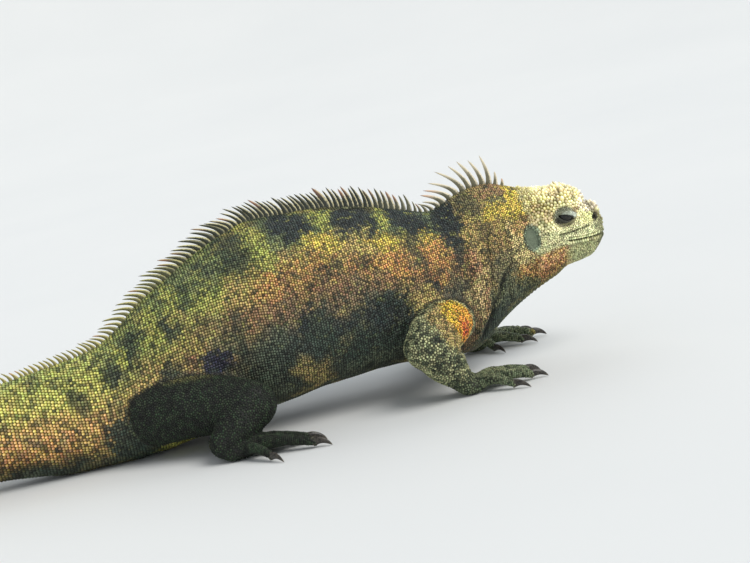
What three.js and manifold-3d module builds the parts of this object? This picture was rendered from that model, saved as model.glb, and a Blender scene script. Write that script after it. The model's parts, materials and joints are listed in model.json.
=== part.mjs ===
// A marine iguana, life size, standing low on its four feet with the head up and the tail behind it.
// Millimetres, +Z up, the head towards +X. The origin is on the floor, under the root of the tail.
// The body is one bent tube given by four lines along its length: the back, the belly, the half width
// and the heading. Limbs, toes, claws and spines are set on it from their own named sizes.
import * as THREE from "three";
import { mergeVertices } from "three/addons/utils/BufferGeometryUtils.js";
import Module from "manifold-3d";

const wasm = await Module();
wasm.setup();

// Driving sizes
const SNOUT = 464; // from the root of the tail to the tip of the snout
const TAIL = 570; // length of the tail
const GAP = 0.3; // kept between solids that touch
const HEAD_CUT = 391;
const NECK_CUT = 327;
const TRUNK_CUTS = [250, 135, -28];
const TAIL_CUTS = [-150, -290, -430];
const NODE_SIDES = { head: 28, body: 30, tail: 16, limb: 12, toe: 6, claw: 4 };

const COLOURS = {
  skin: 0x6f6a45,
  head: 0xb8b08a,
  dark: 0x2f3530,
  claw: 0x23211f,
  eye: 0x1c1712,
};

// A smooth line through [station, value] pairs that keeps flat where two values are alike.
function line(pairs) {
  const x = pairs.map((p) => p[0]);
  const y = pairs.map((p) => p[1]);
  const slope = x.slice(1).map((_, i) => (y[i + 1] - y[i]) / (x[i + 1] - x[i]));
  const tangent = y.map((_, i) => {
    if (i === 0) return slope[0];
    if (i === y.length - 1) return slope[slope.length - 1];
    const before = slope[i - 1];
    const after = slope[i];
    return before * after <= 0 ? 0 : (2 * before * after) / (before + after);
  });
  return (s) => {
    const last = x.length - 2;
    let i = 0;
    while (i < last && s > x[i + 1]) i += 1;
    const span = x[i + 1] - x[i];
    const t = Math.min(1, Math.max(0, (s - x[i]) / span));
    const t2 = t * t;
    const t3 = t2 * t;
    return (
      (2 * t3 - 3 * t2 + 1) * y[i] +
      (t3 - 2 * t2 + t) * span * tangent[i] +
      (3 * t2 - 2 * t3) * y[i + 1] +
      (t3 - t2) * span * tangent[i + 1]
    );
  };
}

// The body's lines, by distance along it: from the tail's tip at -TAIL to the snout's tip at SNOUT.
const back = line([
  [-TAIL, 5], [-500, 16], [-400, 31], [-280, 49], [-150, 69], [-45, 84], [8, 90], [31, 94], [49, 103],
  [72, 120], [95, 133], [120, 146], [150, 160], [176, 166], [198, 165], [226, 163], [250, 159],
  [274, 153], [298, 146], [321, 139], [334, 143], [351, 149], [369, 151], [389, 145], [404, 139],
  [425, 135], [437, 134], [445, 129], [451, 121], [457, 115], [461.5, 106], [SNOUT, 97],
]);
const belly = line([
  [-TAIL, 0], [-210, -0.8], [-150, 1], [-70, 7], [-30, 3], [-8, -0.8], [45, -0.8], [90, 4],
  [150, 14], [220, 22], [265, 24], [310, 18], [330, 16], [345, 21], [361, 33], [382, 46], [406, 58.5],
  [415, 62], [426, 68.5], [436, 70], [446, 72], [453, 76], [458, 80], [461.5, 84], [SNOUT, 89],
]);
const halfWidth = line([
  [-TAIL, 2], [-500, 6], [-400, 9.5], [-280, 13], [-150, 19], [-60, 26], [0, 33], [35, 41], [70, 48],
  [110, 55], [165, 63], [215, 66], [262, 63], [300, 55], [330, 46], [356, 39], [378, 34], [392, 32],
  [405, 31.5], [420, 29.5], [434, 26.5], [445, 22.5], [453, 18], [459, 13], [462.5, 8], [SNOUT, 4],
]);
// Share of the height at which a section is widest, and how peaked it is above and full below.
const widestAt = line([
  [-TAIL, 0.5], [-150, 0.46], [0, 0.4], [120, 0.36], [300, 0.4], [360, 0.48], [400, 0.46], [430, 0.5],
  [SNOUT, 0.5],
]);
const peaked = line([
  [-TAIL, 1.1], [-100, 1.25], [40, 1.2], [200, 1.02], [320, 1.12], [370, 1.05], [400, 0.8],
  [440, 0.72], [SNOUT, 0.8],
]);
const full = line([
  [-TAIL, 0.9], [0, 0.85], [120, 0.72], [300, 0.76], [350, 1], [380, 1.1], [405, 0.9], [440, 0.8],
  [SNOUT, 0.9],
]);
const heading = line([
  [-TAIL, 34], [-450, 16], [-340, -8], [-210, -16], [-90, -6], [0, 0], [330, 0], [400, -6], [SNOUT, -8],
]);

// The path of the body over the floor, walked in small steps from the root of the tail.
const STEP = 2;
const WALK_END = 600;
const walked = new Map([[0, [0, 0]]]);
for (const way of [1, -1]) {
  let [x, y] = [0, 0];
  for (let s = way * STEP; Math.abs(s) <= WALK_END; s += way * STEP) {
    const turn = THREE.MathUtils.degToRad(heading(s - (way * STEP) / 2));
    x += way * STEP * Math.cos(turn);
    y += way * STEP * Math.sin(turn);
    walked.set(s, [x, y]);
  }
}

// A point of the body's own space: s along it, y to its left, z up.
function place(s, y, z) {
  const low = Math.floor(s / STEP) * STEP;
  const part = (s - low) / STEP;
  const [x0, y0] = walked.get(low);
  const [x1, y1] = walked.get(low + STEP);
  const turn = THREE.MathUtils.degToRad(heading(s));
  return new THREE.Vector3(
    x0 + (x1 - x0) * part - y * Math.sin(turn),
    y0 + (y1 - y0) * part + y * Math.cos(turn),
    z,
  );
}

// A point of the body's surface, angle 0 at its left side and a quarter turn on at the back, grown by
// some millimetres.
function skinAt(s, angle, grow = 0) {
  const top = back(s) + grow;
  const low = belly(s) - grow;
  const widest = low + (top - low) * widestAt(s);
  const c = Math.cos(angle);
  const h = Math.sin(angle);
  const power = h >= 0 ? peaked(s) : full(s);
  const y = (halfWidth(s) + grow) * Math.sign(c) * Math.abs(c) ** power;
  const z = widest + h * (h >= 0 ? top - widest : widest - low);
  return { y, z: grow > 0 ? z : Math.max(z, 0) };
}

// Half width of the body at a height.
function sideAt(s, z) {
  const top = back(s);
  const low = belly(s);
  const widest = low + (top - low) * widestAt(s);
  const h = THREE.MathUtils.clamp((z - widest) / (z >= widest ? top - widest : widest - low), -1, 1);
  return halfWidth(s) * Math.sqrt(1 - h * h) ** (z >= widest ? peaked(s) : full(s));
}

// A closed surface through rings of points. Each end is closed by a fan to its middle or, at the far
// end, to a tip.
function loft(rings, tip = null) {
  const sides = rings[0].length;
  const points = rings.flat();
  const faces = [];
  for (let r = 0; r + 1 < rings.length; r += 1) {
    for (let i = 0; i < sides; i += 1) {
      const j = (i + 1) % sides;
      const [a, b, c, d] = [r * sides + i, r * sides + j, (r + 1) * sides + j, (r + 1) * sides + i];
      faces.push([a, b, c], [a, c, d]);
    }
  }
  const ends = [[rings[0], 0, true], [rings.at(-1), (rings.length - 1) * sides, false]];
  for (const [ring, start, flip] of ends) {
    const middle = ring.reduce((sum, p) => sum.add(p), new THREE.Vector3()).divideScalar(sides);
    points.push(tip && !flip ? tip : middle);
    for (let i = 0; i < sides; i += 1) {
      const j = (i + 1) % sides;
      const fan = [points.length - 1, start + i, start + j];
      faces.push(flip ? fan.reverse() : fan);
    }
  }
  return solidOf(points, faces);
}

// A solid of points and faces, turned outside out where it was made inside out.
function solidOf(points, faces) {
  const made = (triangles) =>
    new wasm.Manifold(
      new wasm.Mesh({
        numProp: 3,
        vertProperties: new Float32Array(points.flatMap((p) => p.toArray())),
        triVerts: new Uint32Array(triangles.flat()),
      }),
    );
  const solid = made(faces);
  return solid.volume() > 0 ? solid : made(faces.map((f) => [f[0], f[2], f[1]]));
}

// A solid of a three.js geometry.
function solidOfGeometry(geometry) {
  const bare = geometry.clone();
  bare.deleteAttribute("normal");
  bare.deleteAttribute("uv");
  const merged = mergeVertices(bare, 1e-4);
  const at = merged.getAttribute("position");
  const pointAt = (_, i) => new THREE.Vector3().fromBufferAttribute(at, i);
  const corners = merged.index.array;
  const faceAt = (_, i) => [corners[3 * i], corners[3 * i + 1], corners[3 * i + 2]];
  return solidOf(
    Array.from({ length: at.count }, pointAt),
    Array.from({ length: corners.length / 3 }, faceAt),
  );
}

// An egg-shaped solid with three half sizes.
function egg(centre, halfSizes, turnZ = 0, across = 16, up = 10) {
  const geometry = new THREE.SphereGeometry(1, across, up);
  geometry.rotateX(Math.PI / 2);
  geometry.scale(...halfSizes);
  geometry.rotateZ(turnZ);
  geometry.translate(centre.x, centre.y, centre.z);
  return solidOfGeometry(geometry);
}

// What lies under the floor, to cut soles flat.
const underFloor = solidOfGeometry(new THREE.BoxGeometry(1400, 600, 100).translate(0, 0, -50));

// The largest closed body of a solid, without the slivers that cuts leave.
const SLIVER = 0.03;
const byVolume = (a, b) => b.volume() - a.volume();
const largest = (solid) => solid.simplify(SLIVER).decompose().sort(byVolume)[0];

// The stretch of the body between two stations, with flat ends. A grown one reaches a little past them.
function bodyLength(from, to, sides, stations, grow = 0) {
  const inside = stations.filter((s) => s > from + 1 && s < to - 1);
  const past = grow > 0 ? [[from - 1], [to + 1]] : [[], []];
  const rings = [...past[0], from, ...inside, to, ...past[1]].map((s) =>
    Array.from({ length: sides }, (_, i) => {
      const { y, z } = skinAt(s, (i / sides) * 2 * Math.PI, grow);
      return place(s, y, z);
    }),
  );
  return loft(rings);
}

function steps(from, to, size) {
  const count = Math.round((to - from) / size);
  return Array.from({ length: count + 1 }, (_, i) => from + ((to - from) * i) / count);
}

// A tube through points with radii spread along it, oval by "flat" in its upright direction and grown
// by some millimetres. Its ends are flat, and the far one is rounded where roundEnd is set.
function tube(points, radii, options = {}) {
  const { sides = NODE_SIDES.limb, flat = 1, rings = 5, roundEnd = false, grow = 0 } = options;
  const curve = new THREE.CatmullRomCurve3(points, false, "centripetal");
  const radius = line(radii.map((r, i) => [i / (radii.length - 1), r + grow]));
  const made = [];
  const ringAt = (t, scale, shift) => {
    const tangent = curve.getTangent(t);
    const across = new THREE.Vector3(0, 0, 1).cross(tangent);
    if (across.length() < 0.2) across.set(0, 1, 0).cross(tangent);
    across.normalize();
    const up = tangent.clone().cross(across).normalize();
    const centre = curve.getPoint(t).addScaledVector(tangent, shift);
    const r = radius(t) * scale;
    return Array.from({ length: sides }, (_, i) => {
      const a = ((i + 0.5) / sides) * 2 * Math.PI;
      const sideways = across.clone().multiplyScalar(Math.cos(a) * r);
      return centre.clone().add(sideways).addScaledVector(up, Math.sin(a) * r * flat);
    });
  };
  made.push(ringAt(0, 1, -grow));
  for (let i = 1; i < rings; i += 1) made.push(ringAt(i / rings, 1, 0));
  made.push(ringAt(1, 1, roundEnd ? 0 : grow));
  const DOME = [32, 62, 84].map(THREE.MathUtils.degToRad);
  if (roundEnd) DOME.forEach((a) => made.push(ringAt(1, Math.cos(a), radius(1) * Math.sin(a))));
  return loft(made);
}

const root = new THREE.Group();
const GLOSSY = ["eye", "claw"];
const materials = {};
for (const [name, color] of Object.entries(COLOURS)) {
  const roughness = GLOSSY.includes(name) ? 0.25 : 0.8;
  materials[name] = new THREE.MeshStandardMaterial({ color, roughness, metalness: 0 });
}

// A named mesh of the largest body of a solid.
function addNode(name, solid, material) {
  const mesh = largest(solid).getMesh();
  const geometry = new THREE.BufferGeometry();
  geometry.setAttribute("position", new THREE.BufferAttribute(Float32Array.from(mesh.vertProperties), 3));
  geometry.setIndex(Array.from(mesh.triVerts));
  geometry.computeVertexNormals();
  const made = new THREE.Mesh(geometry, materials[material]);
  made.name = name;
  root.add(made);
}

// The crest: height of its spines over the back, how far they lean back for each millimetre of height,
// and the distance between them, all by distance along the body. The last spine stands behind the crown.
const CREST = { front: 386, rear: -552, sunk: 4.5, clear: 0.8, seed: 7, longShare: 0.36, thinnest: 0.7 };
const crestHeight = line([
  [-TAIL, 3], [-480, 5], [-300, 8], [-120, 11], [20, 12], [120, 14], [220, 16], [262, 17], [300, 13],
  [322, 7], [332, 13], [344, 21], [366, 22], [378, 19], [386, 8],
]);
const crestLean = line([
  [-TAIL, 0.8], [0, 0.75], [140, 0.7], [250, 0.55], [300, 0.5], [330, 0.85], [348, 0.8], [362, 0.45],
  [386, 0.3],
]);
const crestSpacing = line([[-TAIL, 9.5], [-120, 8.5], [120, 7.2], [262, 6.6], [CREST.front, 6]]);

// Repeatable numbers between 0 and 1, by the multiplicative method.
const FACTOR = 16807;
const MODULUS = 2147483647;
function numbers(seed) {
  let state = seed;
  return () => {
    state = (state * FACTOR) % MODULUS;
    return state / MODULUS;
  };
}

// Where the spines stand, each with its height and lean. A spine on a cut moves just past it.
function crestSpines() {
  const random = numbers(CREST.seed);
  const cuts = [HEAD_CUT, NECK_CUT, ...TRUNK_CUTS, ...TAIL_CUTS];
  const spines = [];
  for (let s = CREST.front; s > CREST.rear; s -= crestSpacing(s)) {
    const halfLong = crestSpacing(s) * CREST.longShare;
    const near = cuts.find((cut) => Math.abs(s - cut) < halfLong + CREST.clear);
    const at = near === undefined ? s : near + Math.sign(s - near || 1) * (halfLong + CREST.clear);
    const tall = crestHeight(at) * (0.86 + 0.28 * random());
    const lean = crestLean(at) + 0.2 * (random() - 0.5);
    const aside = 0.12 * (random() - 0.5);
    spines.push({ at, halfLong, tall, lean, aside });
  }
  return spines;
}

// A spine as a flat blade of four sides, sunk in the back, that bends backwards to its tip.
function spine({ at, halfLong, tall, lean, aside }) {
  const halfThick = Math.max(CREST.thinnest, halfLong * 0.5);
  const foot = back(at) - 0.6;
  const ring = (up, size) => {
    const s = at - lean * (0.35 * up + (0.65 * up * up) / tall);
    const long = halfLong * size;
    const thick = halfThick * size;
    const corners = [[long, 0], [0, thick], [-long, 0], [0, -thick]];
    return corners.map(([ds, dy]) => place(s + ds, aside * up + dy, foot + up));
  };
  const root = ring(0, 1.1).map((p) => p.setZ(foot - CREST.sunk));
  return loft([root, ring(tall * 0.5, 0.7)], ring(tall, 0)[0]);
}

// Head
const headStations = [402, 413, 424, 434, 442, 448.5, 454, 458.5, 462];
const EYE = { s: 429, z: 113, radius: 6.4, sunk: 4.2, lid: 8 };
const ALMOND = { halfLong: 6.6, deep: 9, halfTall: 3.1, tilt: 16, lower: 0.8 };
const EAR = { s: 396.5, z: 101, halfLong: 4.8, halfTall: 8.5, deep: 2.2 };
const NOSTRIL = { s: 456, z: 105, radius: 2.2 };
const MOUTH = { corner: 427, cornerZ: 92.6, middleZ: 91.2, frontZ: 89.8, cut: 0.9, deep: 3 };

function eyeCentre(side) {
  return place(EYE.s, side * (sideAt(EYE.s, EYE.z) - EYE.sunk), EYE.z);
}

// The mouth's line over the face, from the right corner round the snout to the left one.
function mouthPath(lift, out) {
  const height = line([[MOUTH.corner, MOUTH.cornerZ], [442, MOUTH.middleZ], [SNOUT, MOUTH.frontZ]]);
  const half = [MOUTH.corner, 433, 440, 447, 453, 458.5];
  const at = (s, side) => place(s, side * (sideAt(s, height(s) + lift) + out), height(s) + lift);
  const front = place(SNOUT - 1 + out, 0, MOUTH.frontZ + lift);
  return [...half.map((s) => at(s, -1)), front, ...half.reverse().map((s) => at(s, 1))];
}

function head() {
  let solid = bodyLength(HEAD_CUT + GAP / 2, SNOUT, NODE_SIDES.head, headStations);
  const lips = [3.2, -3.4].map((lift) =>
    tube(mouthPath(lift, -1.1), [1.2, 2.2, 1.9, 2.2, 1.2], { sides: 5, rings: 13 }),
  );
  solid = wasm.Manifold.union([solid, ...lips]);
  for (const side of [-1, 1]) {
    solid = solid.add(egg(eyeCentre(side), [EYE.lid, EYE.lid, EYE.lid * 0.92], 0, 12, 10));
  }
  for (const side of [-1, 1]) {
    const centre = eyeCentre(side);
    solid = solid.subtract(egg(centre, Array(3).fill(EYE.radius + GAP), 0, 12, 8));
    // The almond between the lids, its front corner a little lower.
    const almond = new THREE.SphereGeometry(1, 10, 6);
    almond.scale(ALMOND.halfLong, ALMOND.deep, ALMOND.halfTall);
    almond.rotateY(THREE.MathUtils.degToRad(ALMOND.tilt));
    almond.rotateZ(THREE.MathUtils.degToRad(heading(EYE.s)));
    almond.translate(centre.x, centre.y + side * EYE.radius, centre.z - ALMOND.lower);
    solid = solid.subtract(solidOfGeometry(almond));
    const ear = place(EAR.s, side * (sideAt(EAR.s, EAR.z) + 1.2), EAR.z);
    solid = solid.subtract(egg(ear, [EAR.halfLong, EAR.deep + 1.2, EAR.halfTall], 0, 10, 8));
    const nostril = place(NOSTRIL.s, side * sideAt(NOSTRIL.s, NOSTRIL.z), NOSTRIL.z);
    solid = solid.subtract(egg(nostril, Array(3).fill(NOSTRIL.radius), 0, 8, 6));
  }
  const grooveShape = { sides: 4, rings: 13, flat: MOUTH.cut / MOUTH.deep };
  const groove = tube(mouthPath(0, 0), Array(3).fill(MOUTH.deep), grooveShape);
  return wasm.Manifold.union([solid.subtract(groove), ...headCones()]);
}

// The cone-shaped scales of the crown, brow and snout, in staggered rows across the head.
const CONES = {
  rear: 398, front: 458, step: 7.5, apart: 8.2, radius: 4, tall: 3.8, sunk: 1.2, sides: 5, lowest: 38,
};
const coneSize = line([
  [CONES.rear, 0.7], [412, 0.95], [424, 1.15], [438, 0.9], [447, 1.1], [456, 1.15], [CONES.front, 0.9],
]);

function cone(s, angle, size) {
  const at = (ds, da) => {
    const { y, z } = skinAt(s + ds, angle + da);
    return place(s + ds, y, z);
  };
  const along = at(1, 0).sub(at(-1, 0)).normalize();
  const round = at(0, 0.03).sub(at(0, -0.03)).normalize();
  const out = along.clone().cross(round).normalize();
  const across = out.clone().cross(along);
  const ring = Array.from({ length: CONES.sides }, (_, i) => {
    const a = (i / CONES.sides) * 2 * Math.PI;
    const flat = along.clone().multiplyScalar(Math.cos(a)).addScaledVector(across, Math.sin(a));
    const sunk = at(0, 0).addScaledVector(out, -CONES.sunk);
    return sunk.addScaledVector(flat, CONES.radius * size);
  });
  return loft([ring], at(0, 0).addScaledVector(out, CONES.tall * size));
}

function headCones() {
  const random = numbers(CREST.seed + 4);
  const cones = [];
  steps(CONES.rear, CONES.front, CONES.step).forEach((s, row) => {
    const reach = THREE.MathUtils.degToRad(90 - CONES.lowest);
    const count = Math.round((1.5 * halfWidth(s)) / CONES.apart);
    for (let i = 0; i <= count - (row % 2); i += 1) {
      const angle = Math.PI / 2 - reach + (2 * reach * (i + 0.5 * (row % 2))) / count;
      const { y, z } = skinAt(s, angle);
      const nearEye = Math.abs(z - EYE.z) < EYE.lid && Math.abs(s - EYE.s) < EYE.lid + 3;
      if (!nearEye) cones.push(cone(s + random() - 0.5, angle, coneSize(s) * (0.85 + 0.3 * random())));
    }
  });
  return cones;
}

function eye(side) {
  return egg(eyeCentre(side), Array(3).fill(EYE.radius), 0, 12, 8);
}

// Body nodes from the neck to the tip of the tail, each with its share of the crest.
const bodyStations = [
  ...steps(-560, -40, 20), -8, 10, 31, 49, 72, 95, 120, 150, 176, 198, 226, 250, 274, 298, 316, 336,
  347, 358, 369, 380,
];
const lengths = [
  ["neck", NECK_CUT, HEAD_CUT, NODE_SIDES.body, "skin"],
  ["chest", TRUNK_CUTS[0], NECK_CUT, NODE_SIDES.body, "skin"],
  ["belly", TRUNK_CUTS[1], TRUNK_CUTS[0], NODE_SIDES.body, "skin"],
  ["pelvis", TRUNK_CUTS[2], TRUNK_CUTS[1], NODE_SIDES.body, "skin"],
  ["tail_root", TAIL_CUTS[0], TRUNK_CUTS[2], NODE_SIDES.tail + 4, "skin"],
  ["tail_front", TAIL_CUTS[1], TAIL_CUTS[0], NODE_SIDES.tail, "skin"],
  ["tail_rear", TAIL_CUTS[2], TAIL_CUTS[1], NODE_SIDES.tail, "skin"],
  ["tail_tip", -TAIL, TAIL_CUTS[2], NODE_SIDES.tail - 2, "skin"],
];

const crest = crestSpines();
addNode("head", head(), "head");
addNode("eye_right", eye(-1), "eye");
addNode("eye_left", eye(1), "eye");
for (const [name, from, to, sides, material] of lengths) {
  const length = bodyLength(from + GAP / 2, to - GAP / 2, sides, bodyStations);
  const spines = crest.filter(({ at }) => at > from && at < to).map(spine);
  addNode(name, wasm.Manifold.union([length, ...spines]), material);
}

// Limbs: joints from the body outwards, in millimetres, with the radius at each.
const limbs = {
  arm_right: {
    joints: [[318, -30, 54], [281, -85, 47], [303, -79, 14]],
    radii: [21, 22, 19.5, 17, 11],
    foot: { forward: 12, palm: [13, 12, 7.5], ahead: 12 },
    toes: [[62, 17, 5], [24, 33, 5.2], [2, 42, 5.4], [-18, 40, 5.2], [-46, 27, 4.8]],
  },
  arm_left: {
    joints: [[322, 30, 50], [308, 78, 40], [344, 62, 13]],
    radii: [21, 22, 19, 16.5, 11],
    foot: { forward: -2, palm: [13, 12, 7.5], ahead: 12 },
    toes: [[-62, 17, 5], [-24, 33, 5.2], [-2, 42, 5.4], [18, 40, 5.2], [46, 27, 4.8]],
  },
  leg_right: {
    joints: [[60, -26, 38], [138, -80, 36], [109, -91, 14]],
    radii: [28, 25, 19, 17, 12],
    foot: { forward: -10, palm: [17, 12, 8], ahead: 16 },
    toes: [[42, 20, 5], [18, 34, 5.2], [2, 46, 5.4], [-14, 52, 5.4], [-48, 30, 4.8]],
  },
  leg_left: {
    joints: [[58, 26, 40], [122, 82, 37], [92, 92, 14]],
    radii: [26, 24, 19, 17, 12],
    foot: { forward: 12, palm: [17, 12, 8], ahead: 16 },
    toes: [[-42, 20, 5], [-18, 34, 5.2], [-2, 46, 5.4], [14, 52, 5.4], [48, 30, 4.8]],
  },
};
const CLAW = { long: 13, rise: 1.6, share: 0.68 };
const SEGMENTS = { arm: ["upper_arm", "forearm", "hand"], leg: ["thigh", "shin", "foot"] };

// The body a gap larger, which limbs are cut clear of.
const clearOfBody = wasm.Manifold.union(
  lengths.slice(0, 5).map(([, from, to, sides]) => bodyLength(from, to, sides, bodyStations, GAP)),
);

function limb(name, { joints, radii, foot, toes }) {
  const [kind, side] = name.split("_");
  const [upperName, lowerName, footName] = SEGMENTS[kind];
  const [top, bend, end] = joints.map((j) => new THREE.Vector3(...j));
  const middle = (a, b, lift) => a.clone().lerp(b, 0.5).add(new THREE.Vector3(0, 0, lift));
  const upperPath = [top, middle(top, bend, 3), bend];
  const upperOf = (grow) => tube(upperPath, radii.slice(0, 3), { roundEnd: true, grow });
  const lowerPath = [bend, middle(bend, end, 0), end];
  const lowerRadii = [radii[2] - 1.5, radii[3], radii[4]];
  const lowerOf = (grow) => tube(lowerPath, lowerRadii, { roundEnd: true, grow });
  const upper = upperOf(0).subtract(clearOfBody).subtract(underFloor);
  addNode(`${upperName}_${side}`, upper, "dark");
  const lower = lowerOf(0).subtract(upperOf(GAP)).subtract(clearOfBody).subtract(underFloor);
  addNode(`${lowerName}_${side}`, lower, "dark");

  const ahead = (degrees, length) => {
    const a = THREE.MathUtils.degToRad(foot.forward + degrees);
    return new THREE.Vector3(Math.cos(a) * length, Math.sin(a) * length, 0);
  };
  const palm = end.clone().add(ahead(0, foot.ahead * 0.6)).setZ(foot.palm[2] - 0.6);
  let whole = egg(palm, foot.palm, THREE.MathUtils.degToRad(foot.forward), 12, 8);
  toes.forEach(([degrees, length, radius], i) => {
    const start = palm.clone().add(ahead(degrees, 2)).setZ(radius + 1);
    const knuckle = palm.clone().add(ahead(degrees, 9 + length * 0.42)).setZ(radius + 4.5);
    const tip = palm.clone().add(ahead(degrees, 9 + length)).setZ(radius - 0.4);
    const toeRadii = [radius * 1.05, radius, radius * 0.8];
    const toe = (grow) => tube([start, knuckle, tip], toeRadii, { sides: NODE_SIDES.toe, rings: 4, grow });
    whole = whole.add(toe(0));
    const clawRoot = tip.clone().add(ahead(degrees, -2));
    const clawTop = tip.clone().add(ahead(degrees, CLAW.long * 0.45)).setZ(tip.z + CLAW.rise);
    const clawTip = tip.clone().add(ahead(degrees, CLAW.long)).setZ(0.6);
    const clawRadii = [radius * CLAW.share, radius * 0.55, 0.4];
    const claw = tube([clawRoot, clawTop, clawTip], clawRadii, { sides: NODE_SIDES.claw, rings: 3 });
    addNode(`claw_${footName}_${side}_${i + 1}`, claw.subtract(toe(GAP)).subtract(underFloor), "claw");
  });
  addNode(`${footName}_${side}`, whole.subtract(lowerOf(GAP)).subtract(underFloor), "dark");
}

for (const [name, sizes] of Object.entries(limbs)) limb(name, sizes);

export default root;
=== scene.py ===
# %% [markdown]
# A marine iguana, life size
#
# The animal stands low on its four feet with its head up. A frame of plain solids is already packed,
# in metres, with the floor at z = 0 and the head towards +X. This script builds the looks round it:
# one skin, tens of thousands of small scales set on it, a crest of spines, claws and eyes.

# %% Loading the frame
import json
import math

import bmesh
import bpy
import numpy as np
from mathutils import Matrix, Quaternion, Vector, noise
from mathutils.bvhtree import BVHTree
from mathutils.kdtree import KDTree

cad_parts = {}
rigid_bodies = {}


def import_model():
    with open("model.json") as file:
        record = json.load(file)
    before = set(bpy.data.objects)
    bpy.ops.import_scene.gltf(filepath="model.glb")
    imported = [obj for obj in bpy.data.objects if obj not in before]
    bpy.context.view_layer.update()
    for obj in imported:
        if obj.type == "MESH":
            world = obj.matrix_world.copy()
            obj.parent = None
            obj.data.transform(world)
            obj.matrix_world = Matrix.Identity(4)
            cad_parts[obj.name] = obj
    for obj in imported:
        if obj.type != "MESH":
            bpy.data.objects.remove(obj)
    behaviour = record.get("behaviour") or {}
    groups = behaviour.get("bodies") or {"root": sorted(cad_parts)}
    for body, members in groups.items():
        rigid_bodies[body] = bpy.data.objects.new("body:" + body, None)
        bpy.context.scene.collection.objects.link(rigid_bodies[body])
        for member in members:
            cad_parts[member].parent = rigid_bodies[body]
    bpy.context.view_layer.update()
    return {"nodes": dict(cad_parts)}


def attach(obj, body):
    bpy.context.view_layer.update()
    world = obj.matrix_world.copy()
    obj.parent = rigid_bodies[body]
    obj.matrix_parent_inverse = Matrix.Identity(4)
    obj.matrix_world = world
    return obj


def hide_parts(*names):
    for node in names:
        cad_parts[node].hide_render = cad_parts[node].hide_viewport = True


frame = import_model()
MM = 0.001
random = np.random.default_rng(11)
print("nodes in the frame:", len(frame["nodes"]))

# %% [markdown]
# The camera
#
# The camera looks at the animal's right side through a long lens, a little from behind and from above.
# In that view the animal climbs to the right. The model stands on a level floor, so the climb is given
# by rolling the camera. The distance follows from the size of one pixel at the trunk.

# %% Camera
IMAGE_WIDTH = 750
PIXEL_AT_TRUNK = 0.82 * MM
LENS = 85
SENSOR = 36
AZIMUTH = math.radians(-10)
ELEVATION = math.radians(10)
ROLL = math.radians(12)
LOOKED_AT = Vector((265.4, 0, 92.2)) * MM

towards_camera = Vector((
    math.sin(AZIMUTH) * math.cos(ELEVATION),
    -math.cos(AZIMUTH) * math.cos(ELEVATION),
    math.sin(ELEVATION),
))
camera = bpy.data.objects.new("camera", bpy.data.cameras.new("camera"))
camera.data.lens = LENS
camera.data.sensor_width = SENSOR
camera.location = LOOKED_AT + towards_camera * (PIXEL_AT_TRUNK * IMAGE_WIDTH * LENS / SENSOR)
camera.rotation_mode = "QUATERNION"
camera.rotation_quaternion = (-towards_camera).to_track_quat("-Z", "Y") @ Quaternion((0, 0, 1), -ROLL)
bpy.context.scene.collection.objects.link(camera)
bpy.context.scene.camera = camera
print("camera at", [round(v, 3) for v in camera.location])

# %% [markdown]
# The lines of the body
#
# A lizard's body is one bent tube. Four lines along its length describe it: the height of the back,
# the height of the belly, the half width and the heading of the tube over the floor. They are the
# same lines as the solids have, in millimetres, by distance along the body from the root of the tail.
# Lines like these are easy to change one at a time, where a sculpted mesh would have to be redone.

# %% Body lines
SNOUT = 464
TAIL = 570
HEAD_START = 386


def line(pairs):
    """A smooth line through [place, value] pairs that keeps flat where two values are alike."""
    x, y = np.array(pairs, float).T
    slope = np.diff(y) / np.diff(x)
    same_way = slope[:-1] * slope[1:] > 0
    total = np.where(same_way, slope[:-1] + slope[1:], 1)
    inner = np.where(same_way, 2 * slope[:-1] * slope[1:] / total, 0)
    tangent = np.concatenate([slope[:1], inner, slope[-1:]])

    def value(s):
        s = np.asarray(s, float)
        i = np.clip(np.searchsorted(x, s, side="right") - 1, 0, len(x) - 2)
        span = x[i + 1] - x[i]
        t = np.clip((s - x[i]) / span, 0, 1)
        rise = (3 - 2 * t) * t * t
        start = t * (1 - t) ** 2 * span * tangent[i]
        end = t * t * (t - 1) * span * tangent[i + 1]
        return y[i] + (y[i + 1] - y[i]) * rise + start + end

    return value


back = line([
    [-TAIL, 5], [-500, 16], [-400, 31], [-280, 49], [-150, 69], [-45, 84], [8, 90], [31, 94], [49, 103],
    [72, 120], [95, 133], [120, 146], [150, 160], [176, 166], [198, 165], [226, 163], [250, 159], [274, 153],
    [298, 146], [321, 139], [334, 143], [351, 149], [369, 151], [389, 145], [404, 139], [425, 135],
    [437, 134], [445, 129], [451, 121], [457, 115], [461.5, 106], [SNOUT, 97],
])
belly = line([
    [-TAIL, 0], [-210, -0.8], [-150, 1], [-70, 7], [-30, 3], [-8, -0.8], [45, -0.8], [90, 4], [150, 14],
    [220, 22], [265, 24], [310, 18], [330, 16], [345, 21], [361, 33], [382, 46], [406, 58.5], [415, 62],
    [426, 68.5], [436, 70], [446, 72], [453, 76], [458, 80], [461.5, 84], [SNOUT, 89],
])
half_width = line([
    [-TAIL, 2], [-500, 6], [-400, 9.5], [-280, 13], [-150, 19], [-60, 26], [0, 33], [35, 41], [70, 48],
    [110, 55], [165, 63], [215, 66], [262, 63], [300, 55], [330, 46], [356, 39], [378, 34], [392, 32],
    [405, 31.5], [420, 29.5], [434, 26.5], [445, 22.5], [453, 18], [459, 13], [462.5, 8], [SNOUT, 4],
])
widest_at = line([
    [-TAIL, 0.5], [-150, 0.46], [0, 0.4], [120, 0.36], [300, 0.4], [360, 0.48], [400, 0.46], [430, 0.5],
    [SNOUT, 0.5],
])
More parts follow.
